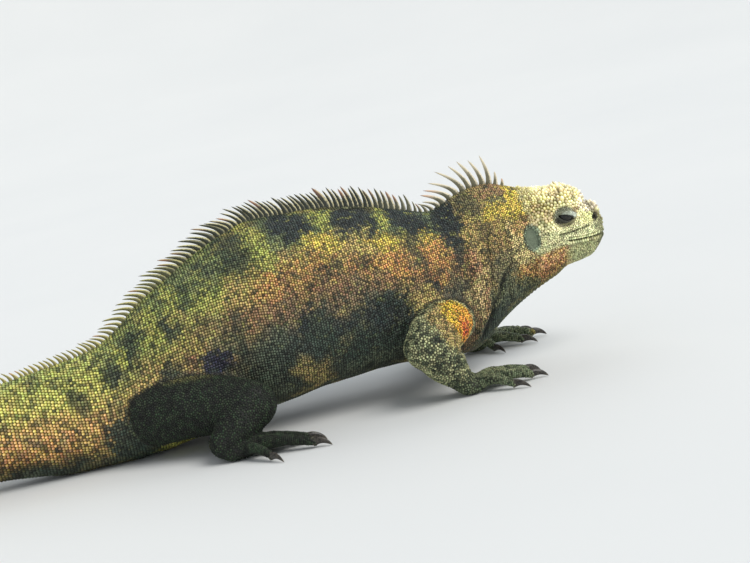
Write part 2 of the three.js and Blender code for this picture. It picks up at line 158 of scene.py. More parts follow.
peaked = line([
    [-TAIL, 1.1], [-100, 1.25], [40, 1.2], [200, 1.02], [320, 1.12], [370, 1.05], [400, 0.8], [440, 0.72],
    [SNOUT, 0.8],
])
full = line([
    [-TAIL, 0.9], [0, 0.85], [120, 0.72], [300, 0.76], [350, 1], [380, 1.1], [405, 0.9], [440, 0.8],
    [SNOUT, 0.9],
])
heading = line([
    [-TAIL, 34], [-450, 16], [-340, -8], [-210, -16], [-90, -6], [0, 0], [330, 0], [400, -6], [SNOUT, -8],
])
print("height of the back at the shoulders:", float(back(298)), "mm")

# %% [markdown]
# From lines to places
#
# The path over the floor is walked in short steps, turning by the heading. A point of the body is then
# given by its distance along the path, its distance to the left and its height. The way back, from a
# point in space to those three numbers, is needed later for markings and folds.

# %% Places on the body
STEP = 2.0
REACH = 600
walk = np.arange(-REACH, REACH + STEP, STEP)
walk_turn = np.radians(heading(walk[:-1] + STEP / 2))
walk_x = np.concatenate([[0], np.cumsum(np.cos(walk_turn) * STEP)])
walk_y = np.concatenate([[0], np.cumsum(np.sin(walk_turn) * STEP)])
walk_x -= np.interp(0, walk, walk_x)
walk_y -= np.interp(0, walk, walk_y)
SKIN_DEPTH = 0.7


def place(s, y, z):
    """Points of the body's own space: s along it, y to its left, z up."""
    turn = np.radians(heading(s))
    x0 = np.interp(s, walk, walk_x)
    y0 = np.interp(s, walk, walk_y)
    return np.stack([x0 - y * np.sin(turn), y0 + y * np.cos(turn), z + 0 * x0], -1)


def section(s, angle, grow=-SKIN_DEPTH):
    """Left distance and height of the surface; angle 0 is the left side, a quarter turn is the back."""
    top = back(s) + grow
    low = belly(s) - grow
    widest = low + (top - low) * widest_at(s)
    c, h = np.cos(angle), np.sin(angle)
    power = np.where(h >= 0, peaked(s), full(s))
    y = (half_width(s) + grow) * np.sign(c) * np.abs(c) ** power
    z = widest + h * np.where(h >= 0, top - widest, widest - low)
    return y, np.maximum(z, -grow)


def side_at(s, z, grow=-SKIN_DEPTH):
    """Half width of the body at a height."""
    top = back(s) + grow
    low = belly(s) - grow
    widest = low + (top - low) * widest_at(s)
    h = np.clip((z - widest) / np.where(z >= widest, top - widest, widest - low), -1, 1)
    return (half_width(s) + grow) * np.sqrt(1 - h * h) ** np.where(z >= widest, peaked(s), full(s))


def body_coordinates(points):
    """Distance along the body, distance to its left and share of its height, for points in millimetres."""
    s = np.empty(len(points))
    for some in np.array_split(np.arange(len(points)), len(points) // 20000 + 1):
        away = (points[some, 0, None] - walk_x) ** 2 + (points[some, 1, None] - walk_y) ** 2
        s[some] = walk[away.argmin(1)]
    turn = np.radians(heading(s))
    off = points[:, :2] - place(s, 0 * s, 0 * s)[:, :2]
    s = s + off[:, 0] * np.cos(turn) + off[:, 1] * np.sin(turn)
    y = -off[:, 0] * np.sin(turn) + off[:, 1] * np.cos(turn)
    rise = np.clip((points[:, 2] - belly(s)) / (back(s) - belly(s)), 0, 1)
    return s, y, rise


print("tip of the tail at", place(np.array([-TAIL]), 0, 5).round(1).tolist())

# %% [markdown]
# The limbs
#
# Each limb is two bent tubes from joint to joint, a flat palm and five toes. The joints are those of
# the solids. Tubes are simple to aim, and the skin made over all of them later hides where they meet.

# %% Limb sizes
LIMBS = {
    "arm_right": {
        "joints": [[318, -30, 54], [281, -85, 47], [303, -79, 14]],
        "radii": [21, 22, 19.5, 17, 11],
        "forward": 12,
        "palm": [13, 12, 7.5],
        "ahead": 12,
        "toes": [[62, 17, 5], [24, 33, 5.2], [2, 42, 5.4], [-18, 40, 5.2], [-46, 27, 4.8]],
    },
    "arm_left": {
        "joints": [[322, 30, 50], [308, 78, 40], [344, 62, 13]],
        "radii": [21, 22, 19, 16.5, 11],
        "forward": -2,
        "palm": [13, 12, 7.5],
        "ahead": 12,
        "toes": [[-62, 17, 5], [-24, 33, 5.2], [-2, 42, 5.4], [18, 40, 5.2], [46, 27, 4.8]],
    },
    "leg_right": {
        "joints": [[60, -26, 38], [138, -80, 36], [109, -91, 14]],
        "radii": [28, 25, 19, 17, 12],
        "forward": -10,
        "palm": [17, 12, 8],
        "ahead": 16,
        "toes": [[42, 20, 5], [18, 34, 5.2], [2, 46, 5.4], [-14, 52, 5.4], [-48, 30, 4.8]],
    },
    "leg_left": {
        "joints": [[58, 26, 40], [122, 82, 37], [92, 92, 14]],
        "radii": [26, 24, 19, 17, 12],
        "forward": 12,
        "palm": [17, 12, 8],
        "ahead": 16,
        "toes": [[-42, 20, 5], [-18, 34, 5.2], [-2, 46, 5.4], [14, 52, 5.4], [48, 30, 4.8]],
    },
}
CLAW_LENGTH = 13
print("limbs:", ", ".join(LIMBS))

# %% [markdown]
# Tubes
#
# A tube is a list of rings. The middle line runs through three points on one smooth curve, and each
# ring stands square to it. The same rings serve twice: joined into a mesh for the skin, and as the
# places where the rows of scales are set.

# %% Tubes through three points
def bent(points, t):
    """Places and directions on a smooth curve through three points, with t from 0 to 1."""
    a, b, c = (np.array(p, float) for p in points)
    middle = np.linalg.norm(b - a) / (np.linalg.norm(b - a) + np.linalg.norm(c - b))
    t = np.asarray(t, float)[:, None]
    spans = [(0, middle, 1), (middle, 0, 1), (1, 0, middle)]
    at = 0
    slope = 0
    for point, (own, other, third) in zip((a, b, c), spans):
        scale = (own - other) * (own - third)
        at = at + point * (t - other) * (t - third) / scale
        slope = slope + point * (2 * t - other - third) / scale
    return at, slope / np.linalg.norm(slope, axis=1, keepdims=True)


def tube_rings(points, radii, rings, sides, flat=1.0, shrink=SKIN_DEPTH, domed=True, bulge=0.0):
    """Ring points of a tube, with the share of its length, the angle and the outward direction of each."""
    t = np.linspace(0, 1, rings)
    centre, along = bent(points, t)
    radius = line([[i / (len(radii) - 1), r] for i, r in enumerate(radii)])(t) - shrink
    radius = radius * (1 + bulge * np.sin(math.pi * t))
    if domed:
        cap = np.radians(np.linspace(0, 88, max(4, rings // 4)))[1:]
        centre = np.concatenate([centre, centre[-1] + along[-1] * (radius[-1] * np.sin(cap))[:, None]])
        along = np.concatenate([along, np.repeat(along[-1:], len(cap), 0)])
        radius = np.concatenate([radius, radius[-1] * np.cos(cap)])
        t = np.concatenate([t, np.ones(len(cap))])
    across = np.cross([0, 0, 1], along)
    across /= np.maximum(np.linalg.norm(across, axis=1, keepdims=True), 1e-6)
    up = np.cross(along, across)
    angle = np.linspace(0, 2 * math.pi, sides, endpoint=False)
    sideways = across[:, None] * np.cos(angle)[None, :, None]
    upwards = up[:, None] * (flat * np.sin(angle))[None, :, None]
    return centre[:, None] + (sideways + upwards) * radius[:, None, None], t, along


def limb_tubes(name, sides=48):
    """All tubes of a limb: (kind, points, radii, settings)."""
    sizes = LIMBS[name]
    top, bend, end = (np.array(j, float) for j in sizes["joints"])
    r = sizes["radii"]

    def ahead(degrees, length):
        turn = math.radians(sizes["forward"] + degrees)
        return np.array([math.cos(turn) * length, math.sin(turn) * length, 0])

    palm = end + ahead(0, sizes["ahead"] * 0.6)
    palm[2] = sizes["palm"][2] - 0.6
    upper_line = [top, (top + bend) / 2 + [0, 0, 3], bend]
    lower_line = [bend, (bend + end) / 2 + [0.01, 0, 0], end]
    tubes = [
        ("upper", upper_line, r[:3], {"rings": 60, "sides": sides}),
        ("lower", lower_line, [r[2] - 1.5, r[3], r[4]], {"rings": 44, "sides": sides}),
    ]
    claws = []
    for degrees, length, radius in sizes["toes"]:
        start = palm + ahead(degrees, 2)
        knuckle = palm + ahead(degrees, 9 + length * 0.42)
        tip = palm + ahead(degrees, 9 + length)
        start[2], knuckle[2], tip[2] = radius + 1, radius + 4.5, radius - 0.4
        toe_radii = [radius * 1.05, radius, radius * 0.8]
        tubes.append(("toe", [start, knuckle, tip], toe_radii, {"rings": 40, "sides": 24}))
        claws.append((tip, ahead(degrees, 1), radius))
    return tubes, claws, palm, math.radians(sizes["forward"])


tubes, claws, palm, forward = limb_tubes("arm_right")
print("tubes in an arm:", len(tubes))

# %% [markdown]
# One skin
#
# On the real animal the skin runs without a break over trunk, limbs and toes. The tubes are therefore
# put into one mesh and fused by a voxel remesh, which makes one closed surface of even, small faces
# wherever they overlap. A boolean would keep hard creases where the limbs meet the trunk. A few rounds
# of averaging then round those places off.

# %% Fusing the tubes
VOXEL = 1.6 * MM
BODY_SIDES = 128


def tube_mesh(rings):
    """Vertices and faces of rings closed at both ends."""
    count, sides = rings.shape[:2]
    points = np.concatenate([rings.reshape(-1, 3), rings[:1].mean(1), rings[-1:].mean(1)])
    a = (np.arange(count - 1)[:, None] * sides + np.arange(sides)).ravel()
    b = (np.arange(count - 1)[:, None] * sides + (np.arange(sides) + 1) % sides).ravel()
    faces = np.stack([a, b, b + sides, a + sides], 1).tolist()
    first = np.arange(sides)
    after = (first + 1) % sides
    last = (count - 1) * sides
    faces += [[j, i, len(points) - 2] for i, j in zip(first.tolist(), after.tolist())]
    faces += [[last + i, last + j, len(points) - 1] for i, j in zip(first.tolist(), after.tolist())]
    return points, faces


def egg(centre, half_sizes, turn=0.0, rings=24, sides=32):
    """Rings of an egg shape, from its front end to its rear end."""
    lat = np.linspace(-math.pi / 2, math.pi / 2, rings)[1:-1, None]
    lon = np.linspace(0, 2 * math.pi, sides, endpoint=False)[None]
    x = np.sin(lat) * half_sizes[0] + 0 * lon
    y = np.cos(lat) * np.cos(lon) * half_sizes[1]
    z = np.cos(lat) * np.sin(lon) * half_sizes[2]
    return np.stack([
        centre[0] + x * math.cos(turn) - y * math.sin(turn),
        centre[1] + x * math.sin(turn) + y * math.cos(turn),
        centre[2] + z,
    ], -1)


def object_from(name, points, faces):
    """A smooth-shaded mesh object from places in millimetres."""
    mesh = bpy.data.meshes.new(name)
    mesh.from_pydata((np.asarray(points) * MM).tolist(), [], faces)
    mesh.shade_smooth()
    made = bpy.data.objects.new(name, mesh)
    bpy.context.scene.collection.objects.link(made)
    return made


EYE = {"s": 429.0, "z": 113.0, "radius": 6.4, "sunk": 4.2, "lid": 8.0}


def eye_centre(side):
    """Centre of an eyeball; side is 1 on the left."""
    out = side_at(EYE["s"], EYE["z"], 0) - EYE["sunk"]
    return place(np.array([EYE["s"]]), np.array([side * out]), np.array([EYE["z"]]))[0]


FINE_FROM = 380
coarse_s = np.arange(-TAIL + 1, FINE_FROM, 2.0)
fine_s = np.arange(FINE_FROM, SNOUT - 0.4, 1.0)
body_s = np.concatenate([coarse_s, fine_s, [SNOUT - 0.7]])
body_angle = np.linspace(0, 2 * math.pi, BODY_SIDES, endpoint=False)
body_y, body_z = section(body_s[:, None], body_angle[None])
body_rings = place(np.repeat(body_s[:, None], BODY_SIDES, 1), body_y, body_z)

shells = [body_rings]
for side in (-1, 1):
    shells.append(egg(eye_centre(side), [EYE["lid"] - 0.2] * 3))
limb_shells = {}
limb_claws = {}
for name in LIMBS:
    tubes, limb_claws[name], palm, forward = limb_tubes(name)
    limb_shells[name] = [(kind, *tube_rings(points, radii, **how)) for kind, points, radii, how in tubes]
    shells += [rings for kind, rings, t, along in limb_shells[name]]
    shells.append(egg(palm, [v - SKIN_DEPTH for v in LIMBS[name]["palm"]], forward))

points, faces = [], []
for rings in shells:
    above_floor = np.maximum(rings[..., 2:], SKIN_DEPTH)
    some, more = tube_mesh(np.concatenate([rings[..., :2], above_floor], -1))
    faces += [[i + sum(map(len, points)) for i in face] for face in more]
    points.append(some)
tubes_object = object_from("skin_tubes", np.concatenate(points), faces)
fuse = tubes_object.modifiers.new("fuse", "REMESH")
fuse.mode = "VOXEL"
fuse.voxel_size = VOXEL
evaluated = tubes_object.evaluated_get(bpy.context.evaluated_depsgraph_get())
fused = bpy.data.meshes.new_from_object(evaluated)
bpy.data.objects.remove(tubes_object)
print("faces of the fused skin:", len(fused.polygons))

# %% [markdown]
# Finer faces on the head
#
# Lids, lips and the ear need faces of well under a millimetre, and the trunk doesn't. Cutting the
# faces of the head in two in each direction, and those round the eyes and mouth once more, puts the
# detail where people look and keeps the rest light.

# %% Cutting the faces of the head
MOUTH = {"corner": 427.0, "corner_z": 92.6, "middle_z": 91.2, "front_z": 89.8}
mouth_height = line([
    [MOUTH["corner"] - 40, 96], [MOUTH["corner"], MOUTH["corner_z"]], [442, MOUTH["middle_z"]],
    [SNOUT, MOUTH["front_z"]],
])


def cut_faces(mesh, chosen):
    """Cuts the edges between chosen vertices in half."""
    work = bmesh.new()
    work.from_mesh(mesh)
    work.verts.ensure_lookup_table()
    inside = set(np.nonzero(chosen)[0].tolist())
    edges = [e for e in work.edges if e.verts[0].index in inside and e.verts[1].index in inside]
    bmesh.ops.subdivide_edges(work, edges=edges, cuts=1, use_grid_fill=True)
    work.to_mesh(mesh)
    work.free()


def places_of(mesh):
    """Vertex places in millimetres."""
    flat = np.empty(len(mesh.vertices) * 3, np.float32)
    mesh.vertices.foreach_get("co", flat)
    return flat.reshape(-1, 3).astype(float) / MM


def edges_of(mesh):
    flat = np.empty(len(mesh.edges) * 2, np.int32)
    mesh.edges.foreach_get("vertices", flat)
    return flat.reshape(-1, 2)


def averaged(values, edges, rounds, share=0.5):
    """Values pulled towards those of their neighbours."""
    count = np.bincount(edges.ravel(), minlength=len(values))
    share = np.reshape(share, (-1, 1)) if np.ndim(share) else share
    values = values.reshape(len(values), -1)
    one, other = edges.T
    for _ in range(rounds):
        total = np.stack([
            np.bincount(one, v[other], len(v)) + np.bincount(other, v[one], len(v)) for v in values.T
        ], 1)
        values = values + share * (total / np.maximum(count, 1)[:, None] - values)
    return values


at = averaged(places_of(fused), edges_of(fused), 5)
fused.vertices.foreach_set("co", (at * MM).ravel())
s, y, rise = body_coordinates(at)
cut_faces(fused, s > HEAD_START)
at = averaged(places_of(fused), edges_of(fused), 2)
s, y, rise = body_coordinates(at)
eye_distance = np.min([np.linalg.norm(at - eye_centre(side), axis=1) for side in (-1, 1)], axis=0)
near_mouth = (s > MOUTH["corner"] - 3) & (np.abs(at[:, 2] - mouth_height(s)) < 2.4)
fused.vertices.foreach_set("co", (at * MM).ravel())
cut_faces(fused, (s > 400) & ((eye_distance < 12) | near_mouth))
at = averaged(places_of(fused), edges_of(fused), 2)
print("vertices of the skin:", len(at))

# %% [markdown]
# Folds, lids and lips
#
# The skin gets its relief by moving each point in or out by a sum of soft waves: lids round the eye,
# a groove for the mouth with a lip on each side, the sunken ear, pleats behind the jaw and down the
# neck, and slow swellings on the flank. Formulas keep every fold in one line, where it can be moved
# or made deeper. Some places stay bare of scales, and a second number for each point says where.

# %% Relief of the skin
EAR = {"s": 397.5, "z": 102.0, "half_long": 5.6, "half_tall": 9.0}
NOSTRIL = {"s": 455.0, "z": 105.5, "radius": 2.2}
LID_TILT = math.radians(22)
OPENING = {"half_long": 7.2, "upper": 2.2, "lower": 3.0}
LID_RING = {"half_long": 8.4, "half_tall": 7.0}
NECK_FOLDS = [
    [337, 1.5, 2.6], [346, 0.9, 1.6], [356, 1.3, 1.8], [364, 0.7, 1.4], [373, 1.0, 1.6], [382, 0.7, 1.3],
]
CHEEK_FOLDS = [
    [418, 451, line([[418, 99.4], [436, 99.8], [451, 100.8]]), 1.9, 0.9],
    [422, 449, line([[422, 98.2], [449, 97.0]]), 0.8, 0.7],
    [405, 427, line([[405, 84], [416, 87], [427, 91.5]]), 0.9, 0.8],
    [404, 424, line([[404, 92], [424, 95]]), 0.7, 0.7],
    [405, 422, line([[405, 104], [422, 98]]), 0.7, 0.8],
]


def soft_step(low, high, value):
    t = np.clip((value - low) / (high - low), 0, 1)
    return t * t * (3 - 2 * t)


def hill(distance, width):
    return np.exp(-((distance / width) ** 2))


def noise_at(points, size, seed=0.0):
    """Smooth noise from about -1 to 1 with lumps of the given size in millimetres."""
    scaled = points / size + seed
    return np.array([noise.noise(p) for p in scaled.tolist()])


def lid_measure(s, z):
    """Below 1 inside the opening between the lids."""
    u = s - EYE["s"]
    v = z - EYE["z"] + 0.8
    along = u * math.cos(LID_TILT) - v * math.sin(LID_TILT)
    over = u * math.sin(LID_TILT) + v * math.cos(LID_TILT)
    height = np.where(over > 0, OPENING["upper"], OPENING["lower"])
    return (along / OPENING["half_long"]) ** 2 + np.abs(over) / height, along, over


def near_eye(s, y):
    """Whether a place lies on the side of the face, round the eye."""
    return (np.abs(y) > 12) & (s > 410) & (s < 448)


def relief(points, s, y, rise):
    """Outward movement in millimetres and a mask of bare places."""
    z = points[:, 2]
    out = np.zeros(len(points))
    head = s > HEAD_START

    measure, along, over = lid_measure(s, z)
    ring = np.sqrt((along / LID_RING["half_long"]) ** 2 + (over / LID_RING["half_tall"]) ** 2)
    facing = near_eye(s, y)
    out += facing * (
        -3.4 * (1 - soft_step(0.85, 1.1, measure))
        + 0.35 * hill(measure - 1.45, 0.28)
        + 0.45 * hill(over - 3.2, 1.6) * (ring < 1)
        - 0.55 * hill(ring - 1.0, 0.09)
        - 0.35 * hill(ring - 1.3, 0.08) * (over < 2)
        + 0.9 * hill(over - 9.0, 2.4) * hill(along, 8)
    )

    from_mouth = z - mouth_height(s)
    lips = soft_step(MOUTH["corner"] - 1.5, MOUTH["corner"] + 3, s)
    front = 1 - 0.8 * soft_step(452, 462, s)
    out += lips * (
        -2.4 * hill(from_mouth, 0.9)
        + 0.85 * front * hill(np.abs(from_mouth) - 2.4, 1.4)
        - 0.35 * front * hill(from_mouth + 6.0, 0.8)
    )
    for start, end, height, depth, width in CHEEK_FOLDS:
        window = soft_step(start, start + 4, s) * (1 - soft_step(end - 4, end, s))
        out -= window * depth * hill(z - height(s), width)
        out += window * 0.5 * depth * hill(z - height(s) - 2.2 * width, width)

    crown = soft_step(0.78, 0.92, rise) * head
    out += crown * (1.3 * hill(s - 430, 7) - 0.5 * hill(s - 439, 3))
    out += crown * (0.8 * hill(s - 457.5, 3) - 4.0 * hill(s - 451.2, 2.7))
    out -= 1.7 * soft_step(448, 461, s) * (1 - soft_step(109, 117, z))

    ear = np.sqrt(((s - EAR["s"]) / EAR["half_long"]) ** 2 + ((z - EAR["z"]) / EAR["half_tall"]) ** 2)
    at_side = np.abs(y) > 15
    out += at_side * (-1.5 * (1 - soft_step(0.75, 1.1, ear)) + 0.7 * hill(ear - 1.28, 0.16))
    nostril = np.sqrt((s - NOSTRIL["s"]) ** 2 + (z - NOSTRIL["z"]) ** 2) / NOSTRIL["radius"]
    off_middle = np.abs(y) > 3
    out += off_middle * (-2.0 * (1 - soft_step(0.5, 1.05, nostril)) + 0.45 * hill(nostril - 1.4, 0.3))

    neck = soft_step(326, 336, s) * (1 - soft_step(384, 394, s))
    middle = soft_step(0.02, 0.2, rise) * (1 - soft_step(0.62, 0.82, rise))
    warp = 3.0 * noise_at(points, 16) + 1.2 * noise_at(points, 6, 4.0)
    for place_s, depth, width in NECK_FOLDS:
        away = s - place_s - 0.12 * (z - 90) + warp
        swelling = hill(away - 2.4 * width, 1.6 * width)
        out += neck * middle * (-depth * hill(away, width) + 0.5 * depth * swelling)
    shoulder = s - 344 - 0.57 * (z - 38) + 0.4 * warp
    shoulder_reach = soft_step(22, 34, z) * (1 - soft_step(74, 88, z)) * soft_step(0.04, 0.1, rise)
    out += shoulder_reach * (-2.6 * hill(shoulder, 2.6) + 0.9 * hill(shoulder + 6.5, 4.0))
    low_throat = soft_step(376, 388, s) * (1 - soft_step(404, 420, s)) * (1 - soft_step(0.16, 0.3, rise))
    out += 0.35 * low_throat * np.sin((s + 0.5 * z + warp) * 2 * math.pi / 4.4)

    trunk = soft_step(-60, 20, s) * (1 - soft_step(318, 338, s))
    out += trunk * (0.9 * noise_at(points, 34, 9.0) + 0.35 * noise_at(points, 11, 2.0))
    behind_arm = hill(s - 268, 22) * soft_step(0.1, 0.25, rise) * (1 - soft_step(0.45, 0.65, rise))
    out += 0.7 * behind_arm * np.sin((s - 0.7 * z + 2 * warp) * 2 * math.pi / 11)

    bare = np.maximum.reduce([
        facing * (1 - soft_step(1.6, 2.0, measure)),
        at_side * (1 - soft_step(0.95, 1.1, ear)),
        off_middle * (1 - soft_step(1.0, 1.15, nostril)),
        lips * hill(from_mouth, 1.0),
    ])
    return np.where(head | (s > 320) | (trunk > 0), out, 0), bare


def set_places(mesh, points):
    mesh.vertices.foreach_set("co", (points * MM).astype(np.float32).ravel())
    mesh.update()


def normals_of(mesh):
    flat = np.empty(len(mesh.vertices) * 3, np.float32)
    mesh.vertex_normals.foreach_get("vector", flat)
    return flat.reshape(-1, 3).astype(float)


s, y, rise = body_coordinates(at)
outside = np.abs(y) - side_at(s, at[:, 2])
joined = hill(outside - 2, 4) * ((s > 10) & (s < 165) | (s > 262) & (s < 345))
at = averaged(at, edges_of(fused), 14, 0.5 * joined)
at[:, 2] = np.maximum(at[:, 2], SKIN_DEPTH)
set_places(fused, at)
s, y, rise = body_coordinates(at)
moved, bare = relief(at, s, y, rise)
at = at + normals_of(fused) * moved[:, None]
at[:, 2] = np.maximum(at[:, 2], SKIN_DEPTH)
set_places(fused, at)
fused.name = "skin"
fused.shade_smooth()
skin = bpy.data.objects.new("skin", fused)
bpy.context.scene.collection.objects.link(skin)
skin_edges = edges_of(fused)
skin_normals = normals_of(fused)
limb_share = averaged(soft_step(0.5, 6.0, np.abs(y) - side_at(s, at[:, 2])), skin_edges, 8).ravel()
print("deepest and highest relief:", round(moved.min(), 2), round(moved.max(), 2), "mm")

# %% [markdown]
# Numbers that travel with the skin
#
# The markings are painted by the material, and it needs to know where on the animal it is: how far
# along the body, how high on the flank, and how much of a limb it is. These are stored on the points
# of the skin, and later on each scale from the place of its root, so both carry the same markings.

# %% Storing the numbers


def store(mesh, name, values, kind="FLOAT"):
    """Keeps one number or one place for each point of a mesh."""
    layer = mesh.attributes.new(name, kind, "POINT")
    layer.data.foreach_set("value" if kind == "FLOAT" else "vector", np.asarray(values, np.float32).ravel())


store(fused, "along", s * MM)
store(fused, "rise", rise)
store(fused, "limb", limb_share)
store(fused, "root", at * MM, "FLOAT_VECTOR")
store(fused, "bare", bare)
# Depth of the sunken places of the relief. The materials darken colour by it as painted shade in the
# hollows, weaker in the ear.
hollow_shade = np.clip(-averaged(moved, skin_edges, 2).ravel() / 1.3, 0, 1) * (s > 300)
in_ear = ((s - EAR["s"]) / EAR["half_long"]) ** 2 + ((at[:, 2] - EAR["z"]) / EAR["half_tall"]) ** 2 < 0.8
hollow_shade = np.where(in_ear, 0.25 * hollow_shade, hollow_shade)
store(fused, "hollow_shade", hollow_shade)
store(fused, "tip", np.zeros(len(at)))
store(fused, "grain", np.full(len(at), 0.5))
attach(skin, "root")
FLESH = ["head", "neck", "chest", "belly", "pelvis", "tail_root", "tail_front", "tail_rear", "tail_tip"]
for side in ("right", "left"):
    FLESH += [f"{part}_{side}" for part in ("upper_arm", "forearm", "hand", "thigh", "shin", "foot")]
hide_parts(*FLESH)
print("limb share from", round(limb_share.min(), 2), "to", round(limb_share.max(), 2))

# %% [markdown]
# Rows of scales
#
# Lizard scales stand in rings round the body, each ring shifted by half a scale against the next, and
# keep their size from row to row. The rows are laid on the same tubes that made the skin. Counting
# each row from the ridge of the back keeps neighbouring rows in step where they are seen most, and
# scattering points at random, which is simpler, would lose the rows that make this skin what it is.

# %% Rows round the body
row_step = line([
    [-TAIL, 2.6], [-300, 3.0], [-90, 2.75], [0, 2.5], [60, 2.3], [120, 2.1], [240, 2.0], [330, 1.8],
    [400, 1.55], [SNOUT, 1.5],
])
row_width = line([
    [-TAIL, 1.7], [-300, 2.4], [-90, 2.5], [0, 2.35], [60, 2.25], [120, 2.1], [240, 2.0], [330, 1.8],
    [400, 1.6], [SNOUT, 1.6],
])
unevenness = line([[-TAIL, 0.06], [0, 0.1], [120, 0.13], [240, 0.18], [340, 0.24], [SNOUT, 0.24]])
ROW_POINTS = 360


def body_rows():
    """Root, way to the tail, row and unwrapped place of each scale on the body's tube."""
    half_turn = np.linspace(math.pi / 2, -math.pi / 2, ROW_POINTS)
    found = []
    at_s, row = -TAIL + 3.0, 0
    while at_s < SNOUT - 3:
        y, z = section(at_s, half_turn)
        length = np.concatenate([[0], np.cumsum(np.hypot(np.diff(y), np.diff(z)))])
        width = row_width(at_s)
        even = (np.arange(int(length[-1] / width)) + 0.5 * (row % 2) + 0.25) * width
        even = even[even < length[-1] - 0.2 * width]
        stray = float(unevenness(at_s)) * width
        for side in (1, -1):
            arc = even + stray * random.uniform(-1, 1, len(even))
            own_s = at_s + stray * random.uniform(-1, 1, len(even))
            left = side * np.interp(arc, length, y)
            height = np.interp(arc, length, z)
            found.append(np.column_stack([place(own_s, left, height), own_s, side * arc / length[-1]]))
        at_s += float(row_step(at_s))
        row += 1
    return np.concatenate(found)


TOE_SCALE = 1.75
LIMB_SCALE = 1.95


def toe_rows(name):
    """Root, way to the claw and unwrapped place of each scale on the toes of a limb."""
    found = []
    for number, (kind, rings, t, along) in enumerate(limb_shells[name]):
        if kind != "toe":
            continue
        step = TOE_SCALE
        middle = rings.mean(1)
        length = np.concatenate([[0], np.cumsum(np.linalg.norm(np.diff(middle, axis=0), axis=1))])
        for row, reach in enumerate(np.arange(0.5 * step, length[-1], 0.86 * step)):
            ring = np.stack([
                [np.interp(reach, length, rings[:, i, axis]) for i in range(rings.shape[1])]
                for axis in range(3)
            ], 1)
            ring = np.vstack([ring, ring[:1]])
            round_way = np.concatenate([[0], np.cumsum(np.linalg.norm(np.diff(ring, axis=0), axis=1))])
            count = max(3, round(round_way[-1] / step))
            share = (np.arange(count) + 0.5 * (row % 2)) / count
            walked = share * round_way[-1]
            roots = np.stack([np.interp(walked, round_way, ring[:, axis]) for axis in range(3)], 1)
            way = np.stack([np.interp(reach, length, along[:, axis]) for axis in range(3)])
            found.append(np.column_stack([
                roots, np.tile(way, (count, 1)), np.full(count, number + reach / length[-1]), share,
                np.full(count, step),
            ]))
    return np.concatenate(found)


rows = body_rows()
toe_rows_of = {name: toe_rows(name) for name in LIMBS}
print("scales laid on the body:", len(rows), "on the toes:", sum(map(len, toe_rows_of.values())))

# %% [markdown]
# Setting the scales on the skin
#
# A place on a tube isn't quite on the skin, which has folds and rounded joints, and a tube's end may
# lie inside the trunk. Each place is therefore moved to the nearest point of the skin, and left out where
# that is too far. What stays uncovered, mostly round the joints, is filled by points chosen at random
# that keep their distance from all others.

# %% Moving places to the skin
skin_faces = [tuple(p.vertices) for p in fused.polygons]
skin_tree = BVHTree.FromPolygons(at.tolist(), skin_faces)
corner = np.array([face[0] for face in skin_faces])
opposite = np.array([face[2] for face in skin_faces])


def on_skin(roots):
    """Nearest places on the skin, their normals, how far away they are and a vertex beside each."""
    hits = [skin_tree.find_nearest(p) for p in roots.tolist()]
    spot = np.array([hit[0] for hit in hits])
    face = np.array([hit[2] for hit in hits])
    normal = skin_normals[corner[face]] + skin_normals[opposite[face]]
    normal /= np.linalg.norm(normal, axis=1, keepdims=True)
    return spot, normal, np.array([hit[3] for hit in hits]), corner[face]


def tail_way(s):
    turn = np.radians(heading(s))
    return np.stack([-np.cos(turn), -np.sin(turn), 0 * s], -1)


def kept(spot, normal, way, size, unwrapped, beside, keep):
    return {
        "root": spot[keep], "normal": normal[keep], "way": way[keep], "size": size[keep],
        "unwrapped": unwrapped[keep], "beside": beside[keep],
    }


def joined_places(groups):
    return {key: np.concatenate([g[key] for g in groups]) for key in groups[0]}


HEAD_ROWS_END = 398
JAW_ROWS_END = 424
BODY_REACH = 1.7
TOE_REACH = 1.0
spot, normal, away, beside = on_skin(rows[:, :3])
row_s = rows[:, 3]
jaw = spot[:, 2] < belly(row_s) + 0.2 * (back(row_s) - belly(row_s))
in_rows = (row_s < HEAD_ROWS_END) | (row_s < JAW_ROWS_END) & jaw
keep = (away < BODY_REACH) & (bare[beside] < 0.4) & in_rows
body_scales = kept(spot, normal, tail_way(row_s), np.column_stack([row_step(row_s), row_width(row_s)]),
                   rows[:, 3:5], beside, keep)

toe_scales = {}
for name, found in toe_rows_of.items():
    spot, normal, away, beside = on_skin(found[:, :3])
    keep = (away < TOE_REACH) & (limb_share[beside] > 0.35)
    size = np.column_stack([found[:, 8], found[:, 8] * 1.15])
    toe_scales[name] = kept(spot, normal, found[:, 3:6], size, found[:, 6:8], beside, keep)
print("kept on the body:", len(body_scales["root"]))
print("kept on the toes:", [len(v["root"]) for v in toe_scales.values()])

# %% [markdown]
# Scales without rows
#
# On the thick parts of the limbs the scales are fine beads in no clear rows, and where the limbs leave
# the trunk the rows end at a ragged edge. Both are filled in one way: random places of the skin are taken
# one by one, and each becomes a scale if nothing else is close. The search uses a coarse grid of cells,
# so that only near neighbours are compared. Places found like this are uneven, so they then push each
# other apart a few times, as crowded beads would.

# %% Points that keep their distance
CELL = 4.0


